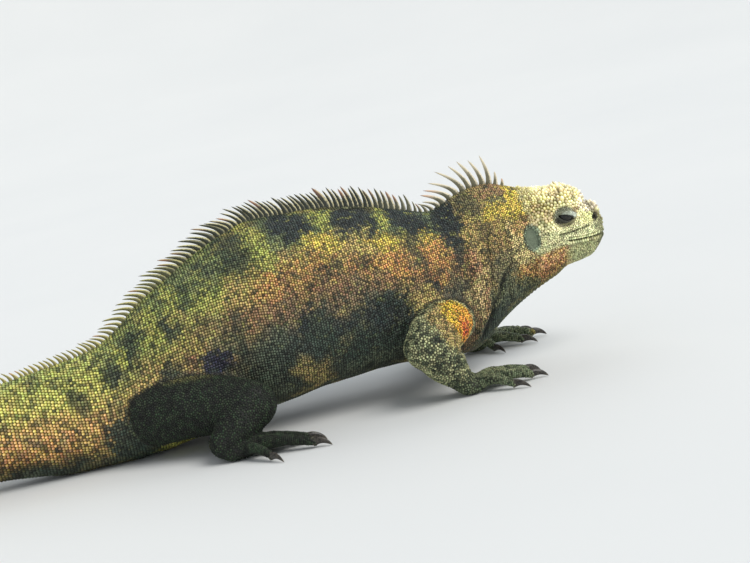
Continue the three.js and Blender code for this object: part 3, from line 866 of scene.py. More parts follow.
def spread_out(candidates, sizes, taken, taken_sizes, share=0.9):
    """Numbers of the candidates that stay clear of all taken points and of each other."""
    cells = {}
    for point, size in zip(taken.tolist(), taken_sizes.tolist()):
        cells.setdefault(tuple(int(v // CELL) for v in point), []).append((*point, size))
    chosen = []
    for number, (point, size) in enumerate(zip(candidates.tolist(), sizes.tolist())):
        x, y, z = point
        home = (int(x // CELL), int(y // CELL), int(z // CELL))
        near = (
            other
            for i in (-1, 0, 1) for j in (-1, 0, 1) for k in (-1, 0, 1)
            for other in cells.get((home[0] + i, home[1] + j, home[2] + k), ())
        )
        limit = (0.5 * share) ** 2
        if all(
            (x - a) ** 2 + (y - b) ** 2 + (z - c) ** 2 > limit * (size + w) ** 2 for a, b, c, w in near
        ):
            chosen.append(number)
            cells.setdefault(home, []).append((x, y, z, size))
    return np.array(chosen, int)


def seen_angle(s, y, z):
    """Place round the body on its unwrap, from -1 at the belly over 0 at the back to 1."""
    low, top = belly(s), back(s)
    up = (z - (low + top) / 2) / (top - low)
    out = np.abs(y) / (2 * half_width(s))
    share = (math.pi / 2 - np.arctan2(up, out)) / math.pi
    return np.where(y < 0, -share, share)


def scattered(faces, each):
    """Random places on some faces of the skin, and the number of the face of each."""
    chosen = np.repeat(faces, each)
    random.shuffle(chosen)
    third = np.where(random.random(len(chosen)) < 0.5, second[chosen], fourth[chosen])
    share = random.dirichlet((1, 1, 1), len(chosen))
    first = at[corner[chosen]]
    last = at[opposite[chosen]]
    spots = share[:, :1] * first + share[:, 1:2] * at[third] + share[:, 2:] * last
    return spots, chosen


def pushed_apart(points, sizes, fixed, fixed_sizes, rounds=3):
    """Moves places along the skin until they keep about their own width from each other."""
    for _ in range(rounds):
        everything = np.vstack([points, fixed])
        widths = np.concatenate([sizes, fixed_sizes])
        tree = KDTree(len(everything))
        for number, point in enumerate(everything.tolist()):
            tree.insert(point, number)
        tree.balance()
        pairs = np.array([
            (i, j) for i, (point, size) in enumerate(zip(points.tolist(), sizes.tolist()))
            for _, j, _ in tree.find_range(point, 1.35 * size) if j != i
        ])
        gap = everything[pairs[:, 0]] - everything[pairs[:, 1]]
        far = np.maximum(np.linalg.norm(gap, axis=1, keepdims=True), 1e-3)
        wanted = 0.56 * (widths[pairs[:, 0]] + widths[pairs[:, 1]])[:, None]
        push = np.zeros_like(points)
        np.add.at(push, pairs[:, 0], gap / far * np.clip(wanted - far, 0, None) * 0.4)
        points = on_skin(points + push)[0]
    return points


def on_their_own(points, sizes):
    """Scales at free places of the skin, with the tail side of each and its place on the unwrap."""
    spot, normal, away, beside = on_skin(points)
    far = s[beside]
    unwrapped = np.column_stack([far, seen_angle(far, y[beside], spot[:, 2])])
    return kept(spot, normal, tail_way(far), np.column_stack([sizes, sizes]), unwrapped, beside, away < 9)


second = np.array([face[1] for face in skin_faces])
fourth = np.array([face[-1] for face in skin_faces])
face_middle = (at[corner] + at[opposite]) / 2
on_body = limb_share[body_scales["beside"]] < 0.4
body_scales = {key: value[on_body] for key, value in body_scales.items()}
taken = joined_places([body_scales, *toe_scales.values()])
open_faces = np.nonzero((s[corner] < 402) & (bare[corner] < 0.3) & (face_middle[:, 2] > 1.2))[0]
places, face = scattered(open_faces, 3)
fill_size = np.where(limb_share[corner[face]] > 0.4, LIMB_SCALE, row_width(s[corner[face]]))
chosen = spread_out(places, fill_size, taken["root"], taken["size"].mean(1), 0.8)
places, fill_size = places[chosen], fill_size[chosen]
near_limb = limb_share[corner[face[chosen]]] > 0.3
near_taken = limb_share[taken["beside"]] > 0.02
places[near_limb] = pushed_apart(
    places[near_limb], fill_size[near_limb], taken["root"][near_taken], taken["size"].mean(1)[near_taken]
)
fill_scales = on_their_own(places, fill_size)
print("scales without rows:", len(chosen))

# %% [markdown]
# The scales of the head
#
# The crown, brow and snout carry tall cones of very different sizes, the cheeks carry small beads and
# the lids the finest grains. Here the rows end. The wanted width is a formula of the place on the head,
# the largest scales are set first, and smaller ones fill the room between them, as in life.

# %% Head scales
PEAKS = [[416.0, 5.0, 1.0], [431.0, 4.0, 2.1], [446.0, 2.2, 1.6], [456.8, 3.0, 1.0]]


def peaks(s):
    """Extra height of the cones on the brow and on the snout, in millimetres."""
    return sum(high * hill(s - at_s, long) for at_s, long, high in PEAKS)


def head_width(s, y, z, rise):
    """Width of a scale on the head, in millimetres."""
    measure, along, over = lid_measure(s, z)
    ring = np.sqrt((along / LID_RING["half_long"]) ** 2 + (over / LID_RING["half_tall"]) ** 2)
    top = 2.7 + 0.42 * peaks(s) - 0.6 * hill(s - 400, 8)
    temple = 2.0 + 0.9 * hill(s - 409, 9) * hill(z - 115, 9)
    width = np.where(s < 432, temple, 2.1)
    width = np.where(z < 104, 1.75, width)
    width = np.where(z < mouth_height(s) - 5, 1.9, width)
    width = width + (top - width) * soft_step(0.72, 0.88, rise)
    round_eye = (ring < 1.35) & near_eye(s, y)
    return np.where(round_eye, np.clip(0.55 + 1.1 * (ring - 0.35), 0.8, 1.7), width)


def lip_rows():
    """A row of plates along each lip, above and below the mouth: root, long size and wide size."""
    found = []
    for side in (-1, 1):
        for above, wide in ((2.0, 3.0), (-2.1, 2.8)):
            for at_s in np.arange(MOUTH["corner"] + 2, SNOUT - 2.5, 2.15):
                height = float(mouth_height(np.array([at_s]))[0]) + above
                left = side * float(side_at(np.array([at_s]), np.array([height]))[0])
                found.append([*place(np.array([at_s]), np.array([left]), np.array([height]))[0], 2.3, wide])
    return np.array(found)


lips = lip_rows()
spot, normal, away, beside = on_skin(lips[:, :3])
lip_scales = kept(
    spot, normal, tail_way(s[beside]), lips[:, 3:5],
    np.column_stack([s[beside], seen_angle(s[beside], y[beside], spot[:, 2])]), beside, away < 2,
)
head_faces = np.nonzero((s[corner] > HEAD_ROWS_END - 3) & (bare[corner] < 0.3))[0]
places, face = scattered(head_faces, 4)
beside = corner[face]
width = head_width(s[beside], y[beside], places[:, 2], rise[beside])
width = width * random.uniform(0.7, 1.2, len(width))
order = np.argsort(-np.round(width * 1.6) / 1.6, kind="stable")
places, width = places[order], width[order]
taken = joined_places([body_scales, lip_scales])
close = taken["unwrapped"][:, 0] > 380
fixed, fixed_width = taken["root"][close], taken["size"].mean(1)[close]
chosen = spread_out(places, width, fixed, fixed_width, 0.78)
places, width = places[chosen], width[chosen]
places = pushed_apart(places, width, fixed, fixed_width, 2)
head_scales = joined_places([on_their_own(places, width), lip_scales])
print("scales of the head:", len(head_scales["root"]), "of these on the lips:", len(lip_scales["root"]))

# %% [markdown]
# From places to solid scales
#
# Every scale is a small bump: a ring a little inside the skin, one to three rings above it and a tip
# that leans to the tail. All scales of a region become one mesh, made from arrays in one go.
# Each scale also gets its own small patch on a map, at the place that its root has on an unwrapped
# skin, so that its colours can be baked without running into those of its neighbours.

# %% Building scales
PATCH = 0.003


def spike_faces(sides, rings):
    """Quads between the rings of one bump or spine, and triangles from its last ring to its tip."""
    i = np.arange(sides)
    j = (i + 1) % sides
    quads = np.concatenate([
        np.stack([r * sides + i, r * sides + j, (r + 1) * sides + j, (r + 1) * sides + i], 1)
        for r in range(rings - 1)
    ])
    caps = np.stack([(rings - 1) * sides + i, (rings - 1) * sides + j, np.full(sides, rings * sides)], 1)
    return quads, caps


def map_patches(mesh, home, flat, corners):
    """Lays each bump or spine flat on its own small patch of the map."""
    patch = home[:, None] + np.concatenate(flat)[None] * (PATCH / 2)
    uv = mesh.uv_layers.new(name="OFBake")
    uv.uv.foreach_set("vector", patch.reshape(-1, 2)[corners].astype(np.float32).ravel())


def studs(name, places, height, sharp, lean, sides=6, rings=2):
    """One mesh of bumps. Height, sharpness and lean are numbers for each scale, in shares of its width."""
    count = len(places["root"])
    normal = places["normal"]
    way = places["way"] - normal * (places["way"] * normal).sum(1, keepdims=True)
    way /= np.maximum(np.linalg.norm(way, axis=1, keepdims=True), 1e-6)
    aside = np.cross(normal, way)
    wobble = random.uniform(0.92, 1.06, (count, 1))
    long = places["size"][:, :1] * 0.56 * wobble
    wide = places["size"][:, 1:] * 0.6 * wobble
    tall = (height * places["size"].mean(1))[:, None] * random.uniform(0.85, 1.15, (count, 1))
    shape_sharp, shape_lean = (np.broadcast_to(v, count)[:, None] for v in (sharp, lean))
    levels = np.linspace(0.0, 1.0, rings + 1)[:-1]
    rings_made, tips, flat = [], [], []
    turn = (np.arange(sides) + 0.5) / sides * 2 * math.pi
    for number, level in enumerate(levels):
        dome = math.sqrt(1 - level**2)
        cone = 1 - level
        spread = dome * (1 - shape_sharp) + cone * shape_sharp
        up = tall * level - (0.25 if number == 0 else 0.0)
        forward = shape_lean * long * level
        ring = (
            places["root"][:, None]
            + normal[:, None] * up[:, None]
            + way[:, None] * (long * spread * np.cos(turn) + forward)[..., None]
            + aside[:, None] * (wide * spread * np.sin(turn))[..., None]
        )
        rings_made.append(ring)
        tips.append(np.full((count, sides), level))
        flat.append(np.stack([np.cos(turn), np.sin(turn)], 1) * (1 - 0.9 * level))
    apex = places["root"] + normal * tall + way * shape_lean * long
    rings_made.append(apex[:, None])
    tips.append(np.ones((count, 1)))
    flat.append(np.zeros((1, 2)))
    points = np.concatenate(rings_made, 1)
    points[..., 2] = np.maximum(points[..., 2], 0.02)
    each = points.shape[1]
    quads, caps = spike_faces(sides, rings)
    start = np.arange(count)[:, None, None] * each
    quad_corners = (quads + start).reshape(count, -1)
    cap_corners = (caps + start).reshape(count, -1)
    corners = np.concatenate([quad_corners, cap_corners], 1).ravel()
    sizes = np.tile(np.concatenate([np.full(len(quads), 4), np.full(len(caps), 3)]), count)

    mesh = bpy.data.meshes.new(name)
    mesh.vertices.add(count * each)
    mesh.vertices.foreach_set("co", (points * MM).astype(np.float32).ravel())
    mesh.loops.add(len(corners))
    mesh.loops.foreach_set("vertex_index", corners.astype(np.int32))
    mesh.polygons.add(len(sizes))
    mesh.polygons.foreach_set("loop_start", (np.cumsum(sizes) - sizes).astype(np.int32))
    mesh.update(calc_edges=True)
    mesh.shade_smooth()

    spots = places["unwrapped"]
    low, high = spots.min(0), spots.max(0)
    home = 0.01 + 0.98 * (spots - low) / np.maximum(high - low, 1e-6)
    map_patches(mesh, home, flat, corners)
    beside = places["beside"]

    def spread_over(values):
        return np.repeat(values, each)

    store(mesh, "along", spread_over(s[beside] * MM))
    store(mesh, "rise", spread_over(rise[beside]))
    store(mesh, "limb", spread_over(limb_share[beside]))
    store(mesh, "root", np.repeat(places["root"] * MM, each, 0), "FLOAT_VECTOR")
    store(mesh, "bare", np.zeros(count * each))
    store(mesh, "hollow_shade", spread_over(hollow_shade[beside]))
    store(mesh, "tip", np.tile(np.concatenate([t[0] for t in tips]), count))
    store(mesh, "grain", spread_over(random.random(count)))
    made = bpy.data.objects.new(name, mesh)
    bpy.context.scene.collection.objects.link(made)
    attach(made, "root")
    return made


def picked(places, keep):
    return {key: value[keep] for key, value in places.items()}


on_limb = limb_share[fill_scales["beside"]] > 0.4
trunk_scales = joined_places([body_scales, picked(fill_scales, ~on_limb)])
bead_scales = picked(fill_scales, on_limb)
limb_scales = {}
for name in LIMBS:
    is_arm, side = name.startswith("arm"), -1 if name.endswith("right") else 1
    own = ((bead_scales["root"][:, 0] > 200) == is_arm) & (bead_scales["root"][:, 1] * side > 0)
    own_beads = picked(bead_scales, own)
    limb_scales[name] = {key: np.concatenate([own_beads[key], toe_scales[name][key]]) for key in own_beads}
regions = {"tail": (-TAIL, -28), "rump": (-28, 120), "flank": (120, 262), "neck": (262, SNOUT)}
scale_pieces = []
root_s = s[trunk_scales["beside"]]
for region, (start, end) in regions.items():
    for side_name, side in (("right", -1), ("left", 1)):
        keep = (root_s >= start) & (root_s < end) & (y[trunk_scales["beside"]] * side > 0)
        part = picked(trunk_scales, keep)
        on_tail = soft_step(60, -60, s[part["beside"]])
        made = studs(f"scales_{region}_{side_name}", part, height=0.3 + 0.06 * on_tail, sharp=0.25,
                     lean=0.3 + 0.3 * on_tail)
        scale_pieces.append(made)
for name, part in limb_scales.items():
    made = studs(f"scales_{name}", part, height=0.4, sharp=0.25, lean=0.15)
    scale_pieces.append(made)
on_top = soft_step(0.72, 0.88, rise[head_scales["beside"]])
head_s = s[head_scales["beside"]]
head_high = 0.48 + 1.5 * on_top + 0.7 * on_top * peaks(head_s)
head_high = head_high + 0.35 * hill(head_s - 409, 9) * hill(head_scales["root"][:, 2] - 115, 9)
head_height = head_high * random.uniform(0.7, 1.3, len(head_high)) / head_scales["size"].mean(1)
for side_name, side in (("right", -1), ("left", 1)):
    keep = y[head_scales["beside"]] * side > 0
    sharp = 0.15 + 0.45 * on_top[keep]
    lean = 0.1 + 0.15 * on_top[keep]
    made = studs(f"scales_head_{side_name}", picked(head_scales, keep), head_height[keep], sharp, lean,
                 sides=7, rings=4)
    scale_pieces.append(made)
for piece in scale_pieces:
    triangles = sum(len(p.vertices) - 2 for p in piece.data.polygons)
    print(piece.name, "faces", len(piece.data.polygons), "triangles", triangles)

# %% [markdown]
# The crest
#
# A single row of flattened horny spines stands on the middle line from the nape to the tip of the tail.
# They could be copies of one cone, but in life each is a thin blade, widest at its root, that bends to
# the tail, and the tall ones of the nape stand in a loose group. So each spine is drawn as rings that
# shrink towards a bent tip, with its own height, lean and sideways bend.

# %% Crest spines
CREST_FRONT = 386
CREST_REAR = -562
crest_height = line([
    (-TAIL, 2.5), (-480, 4), (-300, 6), (-120, 7.5), (0, 8), (40, 10), (80, 14), (120, 15), (220, 16),
    (262, 17), (300, 13.5), (318, 7), (328, 12), (342, 20), (366, 22.5), (377, 21), (382, 8), (386, 6),
])
crest_lean = line([
    (-TAIL, 0.8), (20, 0.65), (60, 0.85), (140, 0.9), (215, 0.75), (250, 0.6), (300, 0.5), (330, 0.85),
    (348, 0.8), (362, 0.45), (386, 0.3),
])
crest_step = line([
    (-TAIL, 5.4), (-200, 4.6), (0, 4.1), (120, 3.9), (262, 3.9), (310, 4.4), (336, 5.4), (386, 6.0),
])
BROAD_SPINE = 239


def crest_places():
    """Distances along the body at which the spines stand."""
    places = [CREST_FRONT]
    while places[-1] > CREST_REAR:
        places.append(places[-1] - float(crest_step(places[-1])) * random.uniform(0.86, 1.14))
    return np.array(places[:-1])


def blades(name, stand, tall, lean, aside, half_long, half_wide, sides=8, rings=8):
    """One mesh of bent, flattened spines on the middle line of the body."""
    count = len(stand)
    root = place(stand, 0 * stand, back(stand) - SKIN_DEPTH)
    before, behind = (place(stand + step, 0 * stand, back(stand + step)) for step in (1.0, -1.0))
    ahead = before - behind
    ahead /= np.linalg.norm(ahead, axis=1, keepdims=True)
    left = np.cross(np.array([0, 0, 1.0]), ahead)
    left /= np.linalg.norm(left, axis=1, keepdims=True)
    up = np.cross(ahead, left)
    levels = np.linspace(0, 1, rings + 1)[:-1]
    turn = np.arange(sides) / sides * 2 * math.pi
    rings_made, tips, edges, flat = [], [], [], []
    for number, level in enumerate(levels):
        rise_here = tall * level - (2.2 if number == 0 else 0)
        rear = lean * tall * level**1.7
        sway = aside * tall * level**1.5
        middle = root + up * rise_here[:, None] - ahead * rear[:, None] + left * sway[:, None]
        long = half_long * ((1 - level) ** 0.62 * 0.9 + 0.1) * (1.0 + 0.25 * math.exp(-level * 9))
        wide = half_wide * ((1 - level) ** 0.7 * 0.85 + 0.15) * (1.0 + 0.5 * math.exp(-level * 8))
        slope = np.arctan2(lean * 1.7 * level**0.7, 1)[:, None]
        along_it = ahead * np.cos(slope) + up * np.sin(slope) * 0.6
        ring = (
            middle[:, None]
            + along_it[:, None] * (long[:, None] * np.cos(turn))[..., None]
            + left[:, None] * (wide[:, None] * np.sin(turn))[..., None]
        )
        rings_made.append(ring)
        tips.append(np.full(sides, level))
        edges.append(np.cos(turn))
        flat.append(np.stack([np.cos(turn), np.sin(turn)], 1) * (1 - 0.9 * level))
    apex = root + up * tall[:, None] - ahead * (lean * tall)[:, None] + left * (aside * tall)[:, None]
    points = np.concatenate([*rings_made, apex[:, None]], 1)
    each = points.shape[1]
    quads, caps = spike_faces(sides, rings)
    faces = []
    for start in range(0, count * each, each):
        faces.extend((quads + start).tolist())
        faces.extend((caps + start).tolist())
    made = object_from(name, points.reshape(-1, 3), faces)
    mesh = made.data
    mesh.shade_smooth()
    corners = np.empty(len(mesh.loops), np.int32)
    mesh.loops.foreach_get("vertex_index", corners)
    home = np.stack([0.01 + 0.98 * np.arange(count) / count, np.full(count, 0.5)], 1)
    map_patches(mesh, home, [*flat, np.zeros((1, 2))], corners)
    store(mesh, "along", np.repeat(stand * MM, each))
    store(mesh, "rise", np.ones(count * each))
    store(mesh, "tip", np.tile(np.concatenate([*tips, [1.0]]), count))
    store(mesh, "edge", np.tile(np.concatenate([*edges, [0.0]]), count))
    store(mesh, "grain", np.repeat(random.random(count), each))
    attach(made, "root")
    return made


stand = crest_places()
tall = crest_height(stand) * random.uniform(0.82, 1.1, len(stand))
lean = crest_lean(stand) + random.uniform(-0.09, 0.09, len(stand))
aside = random.uniform(-0.1, 0.1, len(stand))
half_long = np.clip(0.17 * tall, 1.6, 2.5) * random.uniform(0.9, 1.14, len(stand))
half_wide = 0.42 * half_long
broad = np.abs(stand - BROAD_SPINE).argmin()
half_long[broad], tall[broad], lean[broad] = 4.2, 17.0, 0.7
crest_pieces = []
for name, slot, start, end in (
    ("crest_nape", "skin", 322, 400), ("crest_back", "skin", -28, 322), ("crest_tail", "skin", -600, -28),
):
    keep = (stand >= start) & (stand < end)
    values = (v[keep] for v in (stand, tall, lean, aside, half_long, half_wide))
    made = blades(name, *values)
    crest_pieces.append(made)
    print(name, "spines", keep.sum())

# %% [markdown]
# Claws
#
# Each foot has five strong hooked claws. Each is a horn cone over the last toe bone, higher than wide,
# and bends down to a point. They could be straight cones, but the bend and the narrow ridge on top give
# the shine its shape. The five of a foot are one piece and take the place of the five plain solids.

# %% Claws


def claw_shape(tip, ahead, radius):
    """Points and faces of one claw; it starts inside the toe and ends ahead of it near the floor."""
    rings, sides = 14, 12
    ahead = np.array([ahead[0], ahead[1], 0.0])
    ahead /= np.linalg.norm(ahead)
    left = np.cross([0, 0, 1.0], ahead)
    start = np.array(tip, float) - ahead * 2.0
    end = np.array(tip, float) + ahead * CLAW_LENGTH
    end[2] = 0.5
    top = (start + end) / 2 + ahead * 1.0
    top[2] = tip[2] + 2.6
    points = []
    for t in np.linspace(0, 1, rings):
        middle = (1 - t) ** 2 * start + 2 * t * (1 - t) * top + t**2 * end
        run = 2 * (1 - t) * (top - start) + 2 * t * (end - top)
        run /= np.linalg.norm(run)
        over = np.cross(run, left)
        over = over if over[2] > 0 else -over
        size = radius * (0.64 * (1 - t) ** 0.7 + 0.02)
        for k in range(sides):
            turn = 2 * math.pi * k / sides
            up = math.sin(turn)
            across = math.cos(turn) * (1 - 0.25 * max(up, 0))
            spot = middle + left * size * 0.74 * across + over * size * 1.1 * up
            spot[2] = max(spot[2], 0.12)
            points.append(spot)
    faces = [
        (r * sides + k, r * sides + (k + 1) % sides, (r + 1) * sides + (k + 1) % sides, (r + 1) * sides + k)
        for r in range(rings - 1) for k in range(sides)
    ]
    faces.append(tuple(range(sides))[::-1])
    faces.append(tuple((rings - 1) * sides + k for k in range(sides)))
    tips = np.repeat(np.linspace(0, 1, rings), sides)
    return points, faces, tips


claw_pieces = []
for name in LIMBS:
    foot = name.replace("arm", "hand").replace("leg", "foot")
    points, faces, tips = [], [], []
    for tip, ahead, radius in limb_claws[name]:
        some, more, levels = claw_shape(tip, ahead, radius)
        faces += [tuple(i + len(points) for i in face) for face in more]
        points += some
        tips.extend(levels)
    made = object_from(f"claws_{foot}", points, faces)
    made.data.shade_smooth()
    store(made.data, "tip", np.array(tips))
    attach(made, "root")
    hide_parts(*(f"claw_{foot}_{k}" for k in range(1, 6)))
    claw_pieces.append(made)
    print(made.name, "points", len(points))

# %% [markdown]
# Eyes
#
# The lids cover most of the eyeball, and what shows is a dark brown iris with a round pupil. Each eye
# is a ball in its place behind the opening of the lids. Its colours come from the angle to the line of
# sight of the eye, kept with each point.

# %% Eyes
EYE_RINGS = 40
EYE_SIDES = 48


def eye_ball(side):
    """A ball with a slight bulge in front, and the share of the way from its front to its rear."""
    centre = np.array(eye_centre(side), float)
    sight = np.array([0.16, side, 0.06])
    sight /= np.linalg.norm(sight)
    level = np.cross(sight, [0, 0, 1.0])
    level /= np.linalg.norm(level)
    over = np.cross(level, sight)
    points, shares = [], []
    for r in range(1, EYE_RINGS):
        away = math.pi * r / EYE_RINGS
        bulge = 1 + 0.035 * math.exp(-((away / 0.5) ** 2) * 2)
        for k in range(EYE_SIDES):
            turn = 2 * math.pi * k / EYE_SIDES
            ring = level * math.cos(turn) + over * math.sin(turn)
            points.append(centre + EYE["radius"] * bulge * (sight * math.cos(away) + ring * math.sin(away)))
            shares.append(away / math.pi)
    points += [centre + sight * EYE["radius"] * 1.035, centre - sight * EYE["radius"]]
    shares += [0.0, 1.0]
    front, rear = len(points) - 2, len(points) - 1
    faces = [
        (r * EYE_SIDES + k, r * EYE_SIDES + (k + 1) % EYE_SIDES,
         (r + 1) * EYE_SIDES + (k + 1) % EYE_SIDES, (r + 1) * EYE_SIDES + k)
        for r in range(EYE_RINGS - 2) for k in range(EYE_SIDES)
    ]
    last = (EYE_RINGS - 2) * EYE_SIDES
    faces += [((k + 1) % EYE_SIDES, k, front) for k in range(EYE_SIDES)]
    faces += [(last + k, last + (k + 1) % EYE_SIDES, rear) for k in range(EYE_SIDES)]
    return points, faces, np.array(shares)


eye_pieces = []
for side, side_name in ((-1, "right"), (1, "left")):
    points, faces, shares = eye_ball(side)
    made = object_from(f"eyeball_{side_name}", points, faces)
    made.data.shade_smooth()
    store(made.data, "sight", shares)
    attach(made, "root")
    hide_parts(f"eye_{side_name}")
    eye_pieces.append(made)
    print(made.name, "centre", np.round(eye_centre(side), 1).tolist())

# %% [markdown]
# Short calls for node trees
#
# A material is a tree of nodes. It can be drawn by hand, but a long tree is easier to read in code as
# formulas, so a small helper adds a node, sets or links its inputs and hands back the socket that
# carries its result. A named group holds each effect that more than one material uses.

# %% Node helpers


class Formula:
    """Adds nodes to a tree; every call returns the socket with its result."""

    def __init__(self, tree):
        self.tree = tree

    def put(self, kind, inputs=(), **settings):
        node = self.tree.nodes.new(kind)
        for key, value in settings.items():
            setattr(node, key, value)
        self.feed(node, dict(inputs))
        return node

    def feed(self, node, inputs):
        for name, value in inputs.items():
            socket = node.inputs[name]
            if isinstance(value, bpy.types.NodeSocket):
                self.tree.links.new(value, socket)
            else:
                socket.default_value = value

    def math(self, what, first, second=0.0):
        return self.put("ShaderNodeMath", {0: first, 1: second}, operation=what).outputs[0]

    def plus(self, first, second):
        return self.math("ADD", first, second)

    def minus(self, first, second):
        return self.math("SUBTRACT", first, second)

    def times(self, first, second):
        return self.math("MULTIPLY", first, second)

    def step(self, value, low, high, start=0.0, end=1.0):
        """A soft change from start to end while value goes from low to high."""
        inputs = {"Value": value, "From Min": low, "From Max": high, "To Min": start, "To Max": end}
        return self.put("ShaderNodeMapRange", inputs, interpolation_type="SMOOTHSTEP").outputs["Result"]

    def blend(self, share, first, second, how="MIX"):
        """First colour where share is 0, second where it is 1."""
        inputs = {0: share, 6: first, 7: second}
        return self.put("ShaderNodeMix", inputs, data_type="RGBA", blend_type=how).outputs[2]

    def noise(self, where, scale, detail=2.0, rough=0.5):
        """A smooth random value and a smooth random colour."""
        inputs = {"Vector": where, "Scale": scale, "Detail": detail, "Roughness": rough}
        node = self.put("ShaderNodeTexNoise", inputs)
        return node.outputs["Fac"], node.outputs["Color"]

    def read(self, name, output="Fac"):
        return self.put("ShaderNodeAttribute", attribute_name=name).outputs[output]

    def parts(self, vector):
        node = self.put("ShaderNodeSeparateXYZ", {0: vector})
        return node.outputs[0], node.outputs[1], node.outputs[2]

    def away(self, where, centre, size):
        """Distance from a centre, in widths of an egg with the given half sizes."""
        off = self.put("ShaderNodeVectorMath", {0: where, 1: centre}, operation="SUBTRACT").outputs[0]
        scaled = self.put("ShaderNodeVectorMath", {0: off, 1: size}, operation="DIVIDE").outputs[0]
        return self.put("ShaderNodeVectorMath", {0: scaled}, operation="LENGTH").outputs["Value"]

    def ramp(self, value, stops):
        node = self.put("ShaderNodeValToRGB", {0: value})
        elements = node.color_ramp.elements
        while len(elements) < len(stops):
            elements.new(0.5)
        for element, (spot, colour) in zip(elements, stops):
            element.position = spot
            element.color = colour
        return node.outputs["Color"]

    def group(self, tree, **inputs):
        """Places a group; its inputs are named in small letters."""
        named = {name.replace("_", " ").title(): value for name, value in inputs.items()}
        node = self.tree.nodes.new("ShaderNodeGroup")
        node.node_tree = tree
        self.feed(node, named)
        return node.outputs


SOCKETS = {"value": "NodeSocketFloat", "colour": "NodeSocketColor", "place": "NodeSocketVector"}


def new_group(name, inputs, outputs):
    """An empty shader node group with named sockets; returns it, its formula, inputs and output node."""
    tree = bpy.data.node_groups.new(name, "ShaderNodeTree")
    for label, kind in inputs.items():
        tree.interface.new_socket(label, in_out="INPUT", socket_type=SOCKETS[kind])
    for label, kind in outputs.items():
        tree.interface.new_socket(label, in_out="OUTPUT", socket_type=SOCKETS[kind])
    start = tree.nodes.new("NodeGroupInput")
    end = tree.nodes.new("NodeGroupOutput")
    return tree, Formula(tree), start.outputs, end


def finish_group(formula, end, **results):
    for name, socket in results.items():
        formula.tree.links.new(socket, end.inputs[name.title()])


def paint(red, green, blue):
    """A colour as it looks on a screen, from 0 to 255, as light."""
    light = [((c / 255 + 0.055) / 1.055) ** 2.4 if c > 10 else c / 3295 for c in (red, green, blue)]
    return (*light, 1.0)


print("helpers for node trees are ready")

# %% [markdown]
# The patch group
#
# A male in its breeding colours is a patchwork: dark saddles under the crest, yellow and orange fields
# on the shoulders, rust on the flanks. Painting would need an image, so each patch is an egg on the
# unrolled side of the body: its centre and half sizes along the body and up its side, and a shear that
# tilts it. The edge is torn by a noise that all patches share.

# %% Patch group
patch_group, f, given, end = new_group(
    "Patch",
    {"Along": "value", "Rise": "value", "Tear": "value", "Centre Along": "value", "Centre Rise": "value",
     "Half Along": "value", "Half Rise": "value", "Tilt": "value"},
    {"Mask": "value"},
)
across = f.math("DIVIDE", f.minus(given["Rise"], given["Centre Rise"]), given["Half Rise"])
run = f.math("DIVIDE", f.minus(given["Along"], given["Centre Along"]), given["Half Along"])
run = f.plus(run, f.times(across, given["Tilt"]))
square = f.plus(f.times(run, run), f.times(across, across))
reach = f.plus(f.math("SQRT", square), given["Tear"])
finish_group(f, end, mask=f.step(reach, 0.72, 1.22, 1.0, 0.0))
print("patch group sockets:", [item.name for item in patch_group.interface.items_tree])

# %% [markdown]
# The colours of the animal
#
# First come the base colours: four ramps from the belly to the back, for the neck, the front, the rear
# and the tail. Over them lie the patches. Each row has the paint, the distance along the body in
# millimetres, the share of the height, the two half sizes, the tilt and the strength. Legs and head get
# their own fields, in metres. The group takes only numbers that travel with the skin, so the same
# colours fall on the skin and on each scale that grows from it.

# %% Palette
PAINTS = {
    "yellow_green": paint(180, 182, 96), "green": paint(126, 140, 80), "yellow": paint(226, 202, 98),
    "ochre": paint(194, 172, 108), "orange": paint(210, 158, 96), "rust": paint(170, 132, 96),
    "brown": paint(136, 114, 86), "blue_black": paint(36, 46, 50), "dark_green": paint(48, 62, 52),
    "blue": paint(34, 38, 62), "grey_green": paint(102, 112, 90), "pink": paint(200, 150, 116),
    "sand": paint(224, 208, 148),
}
NECK_RAMP = [
    (0.0, paint(74, 84, 56)), (0.14, paint(96, 100, 70)), (0.28, paint(140, 130, 88)),
    (0.46, paint(168, 146, 100)), (0.66, paint(166, 142, 92)), (0.84, paint(160, 142, 86)),
    (1.0, paint(140, 128, 88)),
]
FRONT_RAMP = [
    (0.0, paint(50, 54, 42)), (0.16, paint(56, 64, 52)), (0.36, paint(62, 72, 66)),
    (0.49, paint(100, 94, 76)), (0.58, paint(150, 118, 82)), (0.70, paint(178, 140, 88)),
    (0.79, paint(178, 154, 90)), (0.88, paint(112, 122, 78)), (1.0, paint(84, 96, 68)),
]
REAR_RAMP = [
    (0.0, paint(34, 40, 24)), (0.24, paint(50, 54, 36)), (0.38, paint(98, 88, 60)),
    (0.54, paint(160, 138, 88)), (0.66, paint(166, 156, 92)), (0.80, paint(140, 148, 86)),
    (1.0, paint(134, 144, 88)),
]
TAIL_RAMP = [
    (0.0, paint(30, 32, 18)), (0.12, paint(40, 40, 24)), (0.20, paint(100, 84, 48)),
    (0.29, paint(194, 150, 96)), (0.45, paint(216, 174, 114)), (0.57, paint(212, 184, 114)),
    (0.66, paint(206, 200, 112)), (0.86, paint(204, 204, 112)), (1.0, paint(160, 168, 102)),
]
